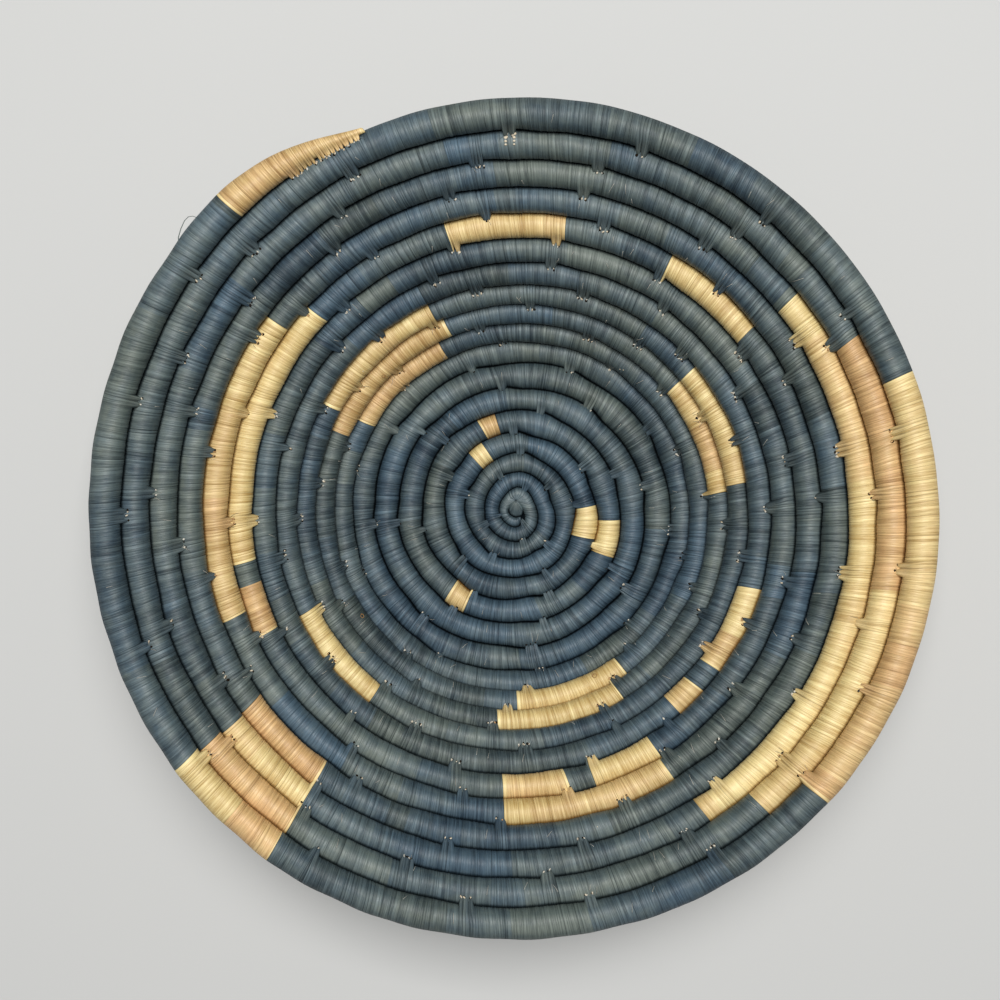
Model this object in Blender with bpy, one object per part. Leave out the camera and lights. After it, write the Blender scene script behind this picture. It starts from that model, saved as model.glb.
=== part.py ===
# Raffia basket bowl: one spiral coil of grass, wrapped in dyed and undyed raffia.
#
# The coil starts in the middle of the base, lies flat for the base turns, bends up and
# leans outward to the rim, where it tapers out against the turn inside it. An unbroken
# bundle of grass runs through the whole coil. Round it sit the wraps, one run of raffia
# after the other: blue-grey dyed runs, and shorter undyed ones that make the pattern.
#
# Units are metres, +Z is up, and the bowl stands on Z = 0 with its middle at X = Y = 0.
# A place along the coil is counted in turns from the middle of the base. A clock angle
# is in degrees, clockwise from +X, seen from above, which is the way the coil winds.

import math

import bmesh
import bpy
import numpy as np

# The coil's thickness, which is also the distance from one turn to the next.
START_THICKNESS = 0.0042
BASE_THICKNESS = 0.0098
RIM_THICKNESS = 0.0112
FIRST_RADIUS = 0.0020

# Where the coil starts and ends, and where its thickness and slope change, in turns.
START_TURN = 0.25
GROWTH_TURNS = 5.5
GROWTH_POWER = 1.5
BASE_TURNS = 7.1
BEND_TURNS = 1.2
LEAN_START_TURN = 10.6
LEAN_TURNS = 2.5
RIM_GROWTH_TURN = 11.0
END_TURN = 18.69

# How steep the side stands over the base, and how steep it is near the rim.
WALL_SLOPE = math.radians(48)
RIM_SLOPE = math.radians(37)

# The end thins to a tip over the last stretch, held against the turn inside it.
TAPER_TURNS = 0.058
TAPER_POWER = 2.2
TAPER_STEPS = 6
TIP_SHARE = 0.28

# Raffia, the grass inside it, and the room between the pieces. The base turns are
# pressed flat where they stand, and the wraps are closed over both ends of the grass,
# which stops in the taper where the coil is down to a share of its full thickness.
WRAP_WALL = 0.0008
CORE_CLEARANCE = 0.00035
TURN_GAP = 0.0005
RUN_GAP = 0.0003
BASE_PRESS = 0.0005
START_COVER = 0.0015
CORE_END_SHARE = 0.8

# Facets. The small turns take half the stations, which leaves them as round.
STATIONS_PER_TURN = 24
COARSE_STATIONS_PER_TURN = 12
COARSE_TURNS = 5
LEAST_STEP_TURNS = 0.0004
ROUNDING_TURNS = 1e-6
WRAP_SIDES = 8
CORE_SIDES = 4
PATH_STEPS_PER_TURN = 240
GAP_POINTS_PER_SIDE = 5
SMOOTH_ANGLE = math.radians(50)

# The undyed runs: turn, clock angle at the start, clock angle at the end.
# An end angle over 360 lies on the next turn.
UNDYED_RUNS = (
    (3, 232, 245),
    (3, 356, 380.5),
    (4, 248, 258.5),
    (5, 5, 26),
    (5, 118, 129.5),
    (8, 211, 246),
    (9, 55.5, 89.5),
    (9, 204.5, 250),
    (9, 321.5, 354.5),
    (10, 60, 95),
    (10, 210, 247.5),
    (10, 321, 352.5),
    (11, 128, 155),
    (12, 17.5, 50.5),
    (13, 59, 92.5),
    (13, 154.5, 225.5),
    (13, 256.5, 280),
    (13, 301.5, 322),
    (14, 59, 92),
    (14, 160, 219),
    (15, 127, 144.5),
    (15, 322, 417.5),
    (16, 126.5, 143.5),
    (16, 332.5, 409.5),
    (17, 126, 143.5),
    (17, 340, 402.5),
    (18, 126, 143.5),
)

# Turns at which a long dyed run is parted, where the maker laid in a new strand.
STRAND_JOINS = (BASE_TURNS, 12.65)

# Colours, roughness and metallic value.
FINISHES = {
    "dyed_raffia": ((0.105, 0.140, 0.152), 0.62, 0.0),
    "undyed_raffia": ((0.720, 0.535, 0.270), 0.58, 0.0),
    "grass": ((0.480, 0.390, 0.190), 0.80, 0.0),
}


def ease(share):
    share = np.clip(share, 0.0, 1.0)
    return share * share * (3.0 - 2.0 * share)


def base_growth(turn):
    """Thickness of the coil as it grows from its start to that of the base."""
    left = np.clip(1.0 - turn / GROWTH_TURNS, 0.0, 1.0) ** GROWTH_POWER
    return BASE_THICKNESS - (BASE_THICKNESS - START_THICKNESS) * left


def thickness(turn):
    share = (turn - RIM_GROWTH_TURN) / (END_TURN - RIM_GROWTH_TURN)
    return base_growth(turn) + (RIM_THICKNESS - BASE_THICKNESS) * np.clip(share, 0.0, 1.0)


def slope(turn):
    bend = WALL_SLOPE * ease((turn - BASE_TURNS) / BEND_TURNS)
    lean = (RIM_SLOPE - WALL_SLOPE) * ease((turn - LEAN_START_TURN) / LEAN_TURNS)
    return bend + lean


# The middle of the coil as a radius and a height over the turns: each turn moves out by
# the coil's thickness, along the slope.
path_turns = np.arange(0.0, END_TURN + 2.0, 1.0 / PATH_STEPS_PER_TURN)
path_step = thickness(path_turns) / PATH_STEPS_PER_TURN
path_radius = FIRST_RADIUS + np.cumsum(path_step * np.cos(slope(path_turns)))
path_rise = np.cumsum(path_step * np.sin(slope(path_turns)))
path_height = path_rise + (base_growth(path_turns) - TURN_GAP) / 2.0 - BASE_PRESS


def centre(turn):
    """Radius and height of the coil's middle."""
    return np.array([np.interp(turn, path_turns, path_radius),
                     np.interp(turn, path_turns, path_height)])


def reach(angle, sides):
    """How far a regular section of corner radius 1, one flat square to angle 0, reaches
    along an angle."""
    half_side = math.pi / sides
    return math.cos((angle % (2.0 * half_side)) - half_side)


def side_room(turn, neighbour):
    """The corner radius that leaves half the turn gap towards one neighbouring turn."""
    step = centre(neighbour) - centre(turn)
    share = thickness(turn) / (thickness(turn) + thickness(neighbour))
    room = (np.hypot(*step) - TURN_GAP) * share
    return room / reach(math.atan2(step[1], step[0]) - slope(turn), WRAP_SIDES)


def wrap_radius(turn):
    """Corner radius of the wrapped coil's section."""
    outer = side_room(turn, turn + 1.0)
    if turn < START_TURN + 1.0:
        return outer
    return min(outer, side_room(turn, turn - 1.0))


def bore_radius(turn):
    """Corner radius of the room inside the wraps, whose corners face the wrap's corners."""
    half_side = math.pi / WRAP_SIDES
    flat = wrap_radius(turn) * math.cos(half_side)
    return (flat - WRAP_WALL) / math.cos(half_side)


def core_radius(turn):
    return bore_radius(turn) - CORE_CLEARANCE / math.cos(math.pi / CORE_SIDES)


def coil_middle():
    """Where the outermost turn's box has its middle, as the coil is laid round the axis."""
    turns = np.arange(END_TURN - 1.0, END_TURN, 1.0 / PATH_STEPS_PER_TURN)
    around = -2.0 * math.pi * turns
    radius = np.interp(turns, path_turns, path_radius) + thickness(turns) / 2.0
    x = radius * np.cos(around)
    y = radius * np.sin(around)
    return np.array([(x.min() + x.max()) / 2.0, (y.min() + y.max()) / 2.0, 0.0])


middle = coil_middle()


def upright(turn, radius, height):
    """Points in the upright plane through the axis that the coil crosses at a turn."""
    around = -2.0 * math.pi * turn
    return np.stack([radius * math.cos(around), radius * math.sin(around), height], axis=-1)


def section(turn, corner_radius, sides):
    """Corners of the coil's section at a turn, pressed flat where they would go below 0."""
    radius, height = centre(turn)
    corners = slope(turn) + math.pi / WRAP_SIDES + np.arange(sides) * 2.0 * math.pi / sides
    heights = np.maximum(height + corner_radius * np.sin(corners), 0.0)
    return upright(turn, radius + corner_radius * np.cos(corners), heights)


def seat(turn):
    """The point of the coil that lies against the turn inside it."""
    flat = wrap_radius(turn) * math.cos(math.pi / WRAP_SIDES)
    radius, height = centre(turn) - flat * np.array([math.cos(slope(turn)), math.sin(slope(turn))])
    return upright(turn, radius, height)


def taper(turn):
    """Share of its full size that the coil keeps, which falls only at the very end."""
    share = (turn - (END_TURN - TAPER_TURNS)) / TAPER_TURNS
    return 1.0 - (1.0 - TIP_SHARE) * min(max(share, 0.0), 1.0) ** TAPER_POWER


def taper_turn(share):
    """The turn at which the taper is down to a share of the full size."""
    place = ((1.0 - share) / (1.0 - TIP_SHARE)) ** (1.0 / TAPER_POWER)
    return END_TURN - TAPER_TURNS * (1.0 - place)


def between_stations(turn, make):
    """What make gives at a turn, on the straight line between the stations beside it.
    Neighbouring turns keep an even gap, because all of them are straight there."""
    count = COARSE_STATIONS_PER_TURN if turn < COARSE_TURNS else STATIONS_PER_TURN
    before = math.floor((turn + ROUNDING_TURNS) * count) / count
    share = (turn - before) * count
    return make(before) * (1.0 - share) + make(before + 1.0 / count) * share


def ring(turn, radius_at, sides):
    """Section points at any place along the coil, tapered and moved to the bowl's frame."""
    points = between_stations(turn, lambda place: section(place, radius_at(place), sides))
    if turn > END_TURN - TAPER_TURNS:
        held = between_stations(turn, seat)
        points = held + (points - held) * taper(turn)
    return points - middle


def places(start, end):
    """Turns at which a stretch of the coil has its sections."""
    coarse = np.arange(0, COARSE_TURNS * COARSE_STATIONS_PER_TURN) / COARSE_STATIONS_PER_TURN
    fine = np.arange(COARSE_TURNS * STATIONS_PER_TURN,
                     math.ceil(END_TURN * STATIONS_PER_TURN)) / STATIONS_PER_TURN
    thinning = np.linspace(END_TURN - TAPER_TURNS, END_TURN, TAPER_STEPS, endpoint=False)
    stations = np.sort(np.concatenate([coarse, fine, thinning]))
    inner = stations[(stations > start + LEAST_STEP_TURNS) & (stations < end - LEAST_STEP_TURNS)]
    return [start, *inner, end]


def add_ring(mesh, points):
    return [mesh.verts.new(point) for point in points]


def add_tube(mesh, rings):
    """Walls between each ring and the next."""
    for first, second in zip(rings, rings[1:]):
        count = len(first)
        for k in range(count):
            after = (k + 1) % count
            mesh.faces.new((first[k], first[after], second[after], second[k]))


def add_end(mesh, outer, bore):
    """The flat end of a sleeve, between its outer corners and those of its bore."""
    per_corner = len(outer) // len(bore)
    for k in range(len(bore)):
        after = (k + 1) % len(bore)
        rim = [outer[(k * per_corner + j) % len(outer)] for j in range(per_corner + 1)]
        mesh.faces.new(rim + [bore[after], bore[k]])


def add_object(name, mesh, finish):
    bmesh.ops.recalc_face_normals(mesh, faces=mesh.faces)
    data = bpy.data.meshes.new(name)
    mesh.to_mesh(data)
    mesh.free()
    data.shade_smooth()
    data.set_sharp_from_angle(angle=SMOOTH_ANGLE)
    data.materials.append(materials[finish])
    item = bpy.data.objects.new(name, data)
    bpy.context.scene.collection.objects.link(item)
    return item


def add_material(name, colour, roughness, metallic):
    material = bpy.data.materials.new(name)
    material.use_nodes = True
    shader = material.node_tree.nodes["Principled BSDF"]
    shader.inputs["Base Color"].default_value = (*colour, 1.0)
    shader.inputs["Roughness"].default_value = roughness
    shader.inputs["Metallic"].default_value = metallic
    material.diffuse_color = (*colour, 1.0)
    return material


def along(turn, distance):
    """The turn that lies a distance further along the coil."""
    return turn + distance / (2.0 * math.pi * centre(turn)[0])


def add_core():
    """The grass bundle, unbroken from the middle of the base to the tapered end."""
    mesh = bmesh.new()
    rings = [add_ring(mesh, ring(turn, core_radius, CORE_SIDES))
             for turn in places(core_start, core_end)]
    add_tube(mesh, rings)
    mesh.faces.new(rings[0])
    mesh.faces.new(rings[-1])
    return add_object("grass_core", mesh, "grass")


def add_wrap(name, start, end, finish):
    """One run of raffia: a sleeve round the grass, closed where the coil begins or ends."""
    mesh = bmesh.new()
    outer = [add_ring(mesh, ring(turn, wrap_radius, WRAP_SIDES)) for turn in places(start, end)]
    add_tube(mesh, outer)
    bore_start = max(start, bore_limits[0])
    bore_end = min(end, bore_limits[1])
    bore = [add_ring(mesh, ring(turn, bore_radius, CORE_SIDES))
            for turn in places(bore_start, bore_end)]
    add_tube(mesh, bore)
    for outer_end, bore_mouth, blind in ((outer[0], bore[0], bore_start > start),
                                         (outer[-1], bore[-1], bore_end < end)):
        if blind:
            mesh.faces.new(outer_end)
            mesh.faces.new(bore_mouth)
        else:
            add_end(mesh, outer_end, bore_mouth)
    return add_object(name, mesh, finish)


def run_limits():
    """Start, end and finish of every wrap, from the middle of the base outward. A run of
    the pattern that lies past the end of the coil is left out."""
    taper_start = END_TURN - TAPER_TURNS
    undyed = [(turn + first / 360.0, turn + last / 360.0) for turn, first, last in UNDYED_RUNS]
    undyed = [(first, last) for first, last in undyed if START_TURN < first and last < taper_start]
    undyed.append((taper_start, END_TURN))
    runs = []
    place = START_TURN
    for first, last in undyed:
        cuts = [place] + [cut for cut in STRAND_JOINS if place < cut < first] + [first]
        runs += [(a, b, "dyed_raffia") for a, b in zip(cuts, cuts[1:])]
        runs.append((first, last, "undyed_raffia"))
        place = last
    return runs


def outline(points):
    """Points along the sides of a closed section, for measuring gaps."""
    after = np.roll(points, -1, axis=0)
    steps = np.linspace(0.0, 1.0, GAP_POINTS_PER_SIDE, endpoint=False)
    return np.concatenate([points + (after - points) * step for step in steps])


def least_gap(radius_at, sides, start, end):
    """Least gap between the coil and its own next turn, at stations and halfway."""
    least = math.inf
    half_step = 0.5 / STATIONS_PER_TURN
    for turn in np.arange(start, end - 1.0, half_step):
        here = outline(ring(turn, radius_at, sides))
        there = outline(ring(turn + 1.0, radius_at, sides))
        apart = np.linalg.norm(here[:, None] - there[None, :], axis=2)
        least = min(least, apart.min())
    return least


for item in list(bpy.data.objects):
    bpy.data.objects.remove(item, do_unlink=True)

materials = {name: add_material(name, *finish) for name, finish in FINISHES.items()}

# The grass stops short of both closed ends, and in the taper where it gets too thin.
core_start = along(START_TURN, START_COVER)
core_end = taper_turn(CORE_END_SHARE)
bore_limits = (along(core_start, -CORE_CLEARANCE), along(core_end, CORE_CLEARANCE))

add_core()
counts = {"dyed_raffia": 0, "undyed_raffia": 0}
names = {"dyed_raffia": "blue_wrap", "undyed_raffia": "natural_wrap"}
for start, end, finish in run_limits():
    counts[finish] += 1
    if start > START_TURN:
        start = along(start, RUN_GAP / 2.0)
    if end < END_TURN:
        end = along(end, -RUN_GAP / 2.0)
    add_wrap(f"{names[finish]}_{counts[finish]:02d}", start, end, finish)

core_gap = least_gap(core_radius, CORE_SIDES, core_start, core_end)
wrap_gap = least_gap(wrap_radius, WRAP_SIDES, START_TURN, END_TURN)
print(f"least gap of the grass core to its next turn: {core_gap * 1000:.2f} mm")
print(f"least gap of the wrapped coil to its next turn: {wrap_gap * 1000:.2f} mm")
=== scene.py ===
# Raffia basket bowl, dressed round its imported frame.
# Every wrap run of the frame is replaced by the same run with its single strips, its
# stitches over the groove and its uneven hand-made course. Lengths are in metres.

import math

import bpy
import numpy as np
from mathutils import Matrix, Vector


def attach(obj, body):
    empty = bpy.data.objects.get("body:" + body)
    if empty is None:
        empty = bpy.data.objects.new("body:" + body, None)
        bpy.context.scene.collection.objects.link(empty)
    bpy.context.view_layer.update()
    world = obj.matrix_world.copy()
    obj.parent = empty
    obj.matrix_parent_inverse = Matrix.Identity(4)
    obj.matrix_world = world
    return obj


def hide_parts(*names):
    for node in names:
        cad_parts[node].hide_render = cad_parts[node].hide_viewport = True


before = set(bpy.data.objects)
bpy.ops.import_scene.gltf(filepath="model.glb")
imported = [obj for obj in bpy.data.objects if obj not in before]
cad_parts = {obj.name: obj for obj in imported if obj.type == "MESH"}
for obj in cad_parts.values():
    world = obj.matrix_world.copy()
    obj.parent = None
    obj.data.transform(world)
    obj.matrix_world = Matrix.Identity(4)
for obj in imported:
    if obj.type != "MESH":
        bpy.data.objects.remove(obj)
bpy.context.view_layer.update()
print("frame loaded:", len(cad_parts), "nodes")

# The coil's course, with the values of the part's source. Turns count from the middle.
coil = {
    "startThickness": 0.0042,
    "baseThickness": 0.0098,
    "rimThickness": 0.0112,
    "firstRadius": 0.0020,
    "startTurn": 0.13,
    "growthTurns": 5.5,
    "growthPower": 1.5,
    "baseTurns": 7.1,
    "bendTurns": 1.2,
    "leanStartTurn": 10.6,
    "leanTurns": 2.5,
    "rimGrowthTurn": 11.0,
    "endTurn": 18.69,
    "wallSlope": math.radians(48),
    "rimSlope": math.radians(37),
    "taperTurns": 0.058,
    "thinTurns": 0.056,
    "thinPower": 1.2,
    "tipShare": 0.19,
    "roundTurns": 0.0011,    # the rounded very end
    "roundShare": 0.97,
    "turnGap": 0.0005,
    "basePress": 0.0005,
    "stepsPerTurn": 240,
}


# Goes smoothly from 0 at the start to 1 after the span.
def ease(value, start=0.0, span=1.0):
    share = np.clip((value - start) / span, 0.0, 1.0)
    return share * share * (3.0 - 2.0 * share)


# 1 between two places, with the spans in which it comes and goes.
def between(value, first, last, firstSpan, lastSpan):
    return ease(value, first, firstSpan) * ease(-value, -last, lastSpan)


def baseGrowthAt(turn):
    left = np.clip(1.0 - turn / coil["growthTurns"], 0.0, 1.0) ** coil["growthPower"]
    return coil["baseThickness"] - (coil["baseThickness"] - coil["startThickness"]) * left


def thicknessAt(turn):
    share = (turn - coil["rimGrowthTurn"]) / (coil["endTurn"] - coil["rimGrowthTurn"])
    growth = (coil["rimThickness"] - coil["baseThickness"]) * np.clip(share, 0.0, 1.0)
    return baseGrowthAt(turn) + growth


def slopeAt(turn):
    bend = coil["wallSlope"] * ease(turn, coil["baseTurns"], coil["bendTurns"])
    lean = ease(turn, coil["leanStartTurn"], coil["leanTurns"])
    return bend + (coil["rimSlope"] - coil["wallSlope"]) * lean


turnTable = np.arange(0.0, coil["endTurn"] + 2.0, 1.0 / coil["stepsPerTurn"])
stepTable = thicknessAt(turnTable) / coil["stepsPerTurn"]
radiusTable = coil["firstRadius"] + np.cumsum(stepTable * np.cos(slopeAt(turnTable)))
heightTable = np.cumsum(stepTable * np.sin(slopeAt(turnTable)))
heightTable += (baseGrowthAt(turnTable) - coil["turnGap"]) / 2.0 - coil["basePress"]
aroundSteps = radiusTable[1:] * 2.0 * math.pi / coil["stepsPerTurn"]
arcSteps = np.sqrt(aroundSteps ** 2 + np.diff(radiusTable) ** 2 + np.diff(heightTable) ** 2)
arcTable = np.concatenate([[0.0], np.cumsum(arcSteps)])


def arcAt(turn):
    return np.interp(turn, turnTable, arcTable)


def turnAt(arc):
    return np.interp(arc, arcTable, turnTable)


# How far the real coil strays from an even spiral: bends at its start, and a bowl that is
# a little out of round. Clock angles and widths in degrees, sizes in metres.
stray = {
    "bends": (               # angle, width, how far outward, first and last turn
        (275, 30, 0.0019, 0.40, 3.3),
        (272, 26, 0.0008, 3.3, 5.0),
        (88, 32, 0.00085, 0.0, 3.6),
        (0, 32, -0.0009, 0.65, 1.35),
        (335, 24, -0.0009, 1.6, 6.6),
        (240, 18, 0.0008, 2.9, 6.3),
    ),
    "bendEase": 0.25,        # turns in which a bend comes and goes
    "wallTurns": (6.9, 1.1),               # where the wall gets out of round, over how many
    "wallOut": 0.00097,
    "wallBack": 0.00038,     # less of it towards the rim
    "lowTurn": 8.0,          # the low waves give way to the top waves from here
    "highTurns": 9.0,
    "highest": 1.15,
    "topWaves": ((1, 0.00067, 0.00046), (2, -0.00060, 0.0), (3, 0.00015, 0.00027)),
    "lowWaves": ((2, -0.00027, -0.00027),),
}


def strayAt(turn):
    turn = np.asarray(turn, dtype=float)
    shift = np.zeros_like(turn)
    for angle, width, size, first, last in stray["bends"]:
        away = (turn * 360.0 - angle + 180.0) % 360.0 - 180.0
        held = between(turn, first, last, stray["bendEase"], stray["bendEase"])
        shift = shift + size * np.exp(-(away / width) ** 2) * held
    high = np.clip((turn - stray["lowTurn"]) / stray["highTurns"], 0.0, stray["highest"])
    around = 2.0 * math.pi * turn
    wall = stray["wallOut"] - stray["wallBack"] * high
    for share, waves in ((high, stray["topWaves"]), (1.0 - high, stray["lowWaves"])):
        for count, cosine, sine in waves:
            wall = wall + share * (cosine * np.cos(count * around) + sine * np.sin(count * around))
    return shift + wall * ease(turn, *stray["wallTurns"])


def radiusAt(turn):
    return np.interp(turn, turnTable, radiusTable) + strayAt(turn)


def heightAt(turn):
    return np.interp(turn, turnTable, heightTable)


lastTurn = np.arange(coil["endTurn"] - 1.0, coil["endTurn"], 1.0 / coil["stepsPerTurn"])
lastRadius = np.interp(lastTurn, turnTable, radiusTable) + thicknessAt(lastTurn) / 2.0
lastX = lastRadius * np.cos(-2.0 * math.pi * lastTurn)
lastY = lastRadius * np.sin(-2.0 * math.pi * lastTurn)
middleX = (lastX.min() + lastX.max()) / 2.0
middleY = (lastY.min() + lastY.max()) / 2.0


# Places from the spiral's axis, moved so that the bowl stands over the middle of its rim.
def placeFromAxis(x, y, z):
    return np.stack([x - middleX, y - middleY, np.maximum(z, 0.0)], axis=-1)


def placeAround(turn, radius, height):
    around = -2.0 * math.pi * turn
    return placeFromAxis(radius * np.cos(around), radius * np.sin(around), height)


# Where each turn is stitched over the groove to the turn inside it, as clock angles.
stitchAngles = {
    1: (55, 170, 290),
    2: (76.5, 158, 247.5, 321.5),
    3: (46.5, 118, 199, 274, 352.5),
    4: (64, 137, 208, 268.5, 326),
    5: (22.5, 68, 117, 169, 225.5, 283.5, 338.5),
    6: (30, 75.5, 122.5, 175, 220.5, 263.5, 304, 348),
    7: (34.5, 83, 131, 175, 214, 252.5, 290.5, 328),
    8: (6.5, 44.5, 81, 118, 158.5, 195, 228.5, 265.5, 303, 339),
    9: (14, 50, 86, 127.5, 163, 201.5, 230.5, 259, 292.5, 320, 354.5),
    10: (22.5, 59, 92, 120, 152.5, 188.5, 218.5, 246.5, 274, 306, 332.5),
    11: (3, 28, 65.5, 96, 126.5, 154, 178.5, 208.5, 232.5, 260, 287, 316, 341.5),
    12: (10.5, 34.5, 64.5, 87.5, 115, 141.5, 169.5, 196, 223.5, 251, 278, 305.5, 331.5,
         358.5),
    13: (25, 53.5, 72.5, 103, 129, 153, 178.5, 202.5, 230.5, 257, 278.5, 301, 324.5, 348.5),
    14: (13.5, 38, 57.5, 79, 100.5, 124.5, 154.5, 178.5, 200.5, 224, 241.5, 264.5, 287,
         312, 333.5, 356.5),
    15: (23.5, 48, 69, 92.5, 120.5, 149.5, 168.5, 191.5, 214.5, 236, 258.5, 282, 305, 328,
         348.5),
    16: (9.5, 32, 53, 78, 101.5, 126, 150.5, 175, 198, 219, 240, 264, 283.5, 308, 331.5,
         356.5),
    17: (17, 42, 61.5, 84.5, 107, 125.5, 141.5, 162.5, 183.5, 205.5, 225.5, 244.5, 269,
         289, 310, 328.5, 347.5),
    18: (7.5, 26, 41.5, 59, 78.5, 97, 120.5, 142, 160.5, 180, 197, 217),
}
stitch = {
    "reach": 0.00130,        # past the groove, onto the turn inside
    "reachSpread": (0.8, 1.15),
    "reachPower": 1.5,       # of the size, where stitches are smaller
    "biteRange": (0.05, 0.999),            # cosine of how high it bites, at least and most
    "webReach": 0.0004,      # the same between two teeth
    "webMargin": 0.001,      # no web this close to the end of a run
    "leftSpread": 0.0030,    # how much wrap a stitch gathers before and after its middle
    "rightSpread": 0.0021,
    "plainWidth": 0.75,      # of that, whatever the number of tips
    "tipSpacing": 0.0021,
    "threeSpacing": 0.85,    # closer where there are three
    "tipOdds": (0.1, 0.68, 0.22),           # for one, two or three tips
    "smallTurns": ((3, 0.66), (7, 0.80)),   # smaller before these turns
    "jitter": 0.0002,
    "pinch": 0.50,
    "singlePinch": 0.4,      # share of it for a tip of one strip
    "endSpacing": 0.00205,   # the close stitches along the tapered end
    "endSpacingSpread": (0.85, 1.15),
    "endSides": (0.55, 0.45),
    "endReach": 0.0006,
    "endReachSpread": (0.75, 1.2),
    "endPinch": 0.28,
    "endFirstTurn": 18.6575,
    "endMargin": 0.0008,
    "seed": 11,
}

stitchRandom = np.random.default_rng(stitch["seed"])
jitter = stitch["jitter"]
tips = []                    # arc of the tip, first and last arc it gathers, reach, pinch
webs = []                    # arc between two teeth of a stitch
groovePins = []              # arcs at which the groove is pulled tight
for turn, angles in stitchAngles.items():
    size = next((small for limit, small in stitch["smallTurns"] if turn < limit), 1.0)
    for angle in angles:
        middleArc = arcAt(turn + angle / 360.0)
        tipCount = int(stitchRandom.choice([1, 2, 3], p=stitch["tipOdds"]))
        wider = stitch["plainWidth"] + (1.0 - stitch["plainWidth"]) * tipCount / 2.0
        spacing = stitch["tipSpacing"] * size * (stitch["threeSpacing"] if tipCount == 3 else 1.0)
        limits = np.linspace(-stitch["leftSpread"] * size * wider,
                             stitch["rightSpread"] * size * wider, tipCount + 1)
        if tipCount > 1:
            limits[1:-1] += stitchRandom.uniform(-jitter, jitter, tipCount - 1)
        for k in range(tipCount):
            place = (k - (tipCount - 1) / 2.0) * spacing + stitchRandom.uniform(-jitter, jitter)
            reach = stitch["reach"] * size ** stitch["reachPower"]
            reach = reach * stitchRandom.uniform(*stitch["reachSpread"])
            tips.append((middleArc + place, middleArc + limits[k], middleArc + limits[k + 1],
                         reach, stitch["pinch"]))
            if k > 0:
                webs.append(middleArc + limits[k])
        groovePins.append(middleArc)
place = arcAt(stitch["endFirstTurn"])
while place < arcAt(coil["endTurn"]) - stitch["endMargin"]:
    spacing = stitch["endSpacing"] * stitchRandom.uniform(*stitch["endSpacingSpread"])
    reach = stitch["endReach"] * stitchRandom.uniform(*stitch["endReachSpread"])
    tips.append((place, place - stitch["endSides"][0] * spacing,
                 place + stitch["endSides"][1] * spacing, reach, stitch["endPinch"]))
    place += spacing
tips = np.array(sorted(tips))
groovePins = np.array(sorted(groovePins))
print("stitches:", len(groovePins), "tips:", len(tips))

# The unevenness of a coil laid by hand. Lists are by turn.
unevenness = {
    "pull": ([1.5, 3.0, 9.0, 11.0], [0.0, 0.00062, 0.00062, 0.00030]),   # groove's swing
    "pullEnd": ([18.45, 18.6], [1.0, 0.0]),
    "tightShare": 0.26,      # the groove lets go over this share of the way to the next
    "release": (1.7, 0.8, 0.1),            # how far it comes back, over which part of the ease
    "waveHeight": 0.00016,
    "waveStart": ([1.0, 3.0], [0.2, 1.0]),
    "thicknessWave": 0.015,  # as a share of the coil's height
    "waves": (9, 0.018, 0.09),             # how many, and between which lengths
    "fades": (8, 0.05, 0.42),
    "waveSum": 3.0,          # what their sums are divided by
    "fadeSum": 2.0,
    "seed": 5,
}
waveRandom = np.random.default_rng(unevenness["seed"])


def drawWaves(count, shortest, longest):
    lengths = waveRandom.uniform(shortest, longest, count)
    return lengths, waveRandom.uniform(0.0, 2.0 * math.pi, count)


waveLengths, wavePhases = drawWaves(*unevenness["waves"])
fadeLengths, fadePhases = drawWaves(*unevenness["fades"])


# Slow waves along the coil. Another shift gives other waves.
def waveAt(arc, shift=0.0):
    arc = np.asarray(arc)[..., None]
    waves = np.sin(2.0 * math.pi * arc / waveLengths + wavePhases + shift)
    return waves.sum(axis=-1) / unevenness["waveSum"]


def fadeAt(arc, shift):
    waves = np.sin(2.0 * math.pi * arc[:, None] / fadeLengths + fadePhases * (1.0 + shift))
    return waves.sum(axis=-1) / unevenness["fadeSum"]


# How far outward the groove inside this turn is off the even spiral: it swings out at each
# stitch, back behind it, and slowly out again.
def grooveShift(turn):
    arc = arcAt(turn)
    after = np.clip(np.searchsorted(groovePins, arc), 1, len(groovePins) - 1)
    before, following = groovePins[after - 1], groovePins[after]
    share = np.clip((arc - before) / (following - before), 0.0, 1.0)
    tight = unevenness["tightShare"]
    back, part, start = unevenness["release"]
    swing = np.where(share < tight, 1.0 - 2.0 * ease(share, 0.0, tight),
                     -1.0 + back * ease((share - tight) / (1.0 - tight) * part + start))
    pull = np.interp(turn, *unevenness["pull"])
    wave = unevenness["waveHeight"] * waveAt(arc) * np.interp(turn, *unevenness["waveStart"])
    return pull * swing * np.interp(turn, *unevenness["pullEnd"]) + wave


# The wrapped coil's section: nearly round, with the flanks pressed together.
section = {
    "arcs": ((-90, 90, 9), (90, 180, 9), (180, 270, 7)),   # from and to, and points
    "heightShare": 0.99,
    "firstInward": ([0.13, 0.25, 0.50, 0.75, 1.00, 1.13],  # round the knob in the middle
                    [0.0008, 0.0019, 0.0014, 0.0028, 0.0032, 0.0030]),
    "grooveGap": -0.00050,   # pressed together where they touch, below the slit
    "slitWidth": 0.00100,
    "slitDepth": 0.15,       # as a share of the half height
    "slitEase": 0.35,
    "slitFlank": 0.5,        # cosine at which it has its width
    "slitHalf": 0.004,       # a thinner coil has a narrower slit
    "flatFlank": 0.85,       # how much the lines between strips fade where turns press,
    "flatFrom": (0.55, 0.35),              # from this cosine on, with its span,
    "flatBelow": 0.1,        # and below this sine
    "raisedTurns": (6.2, 10.5, 0.6, 1.0),  # between which turns they touch higher up
}
pointAngles = np.radians(np.concatenate([np.linspace(first, last, count, endpoint=False)
                                         for first, last, count in section["arcs"]]))
pointDegrees = np.degrees(pointAngles)
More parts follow.
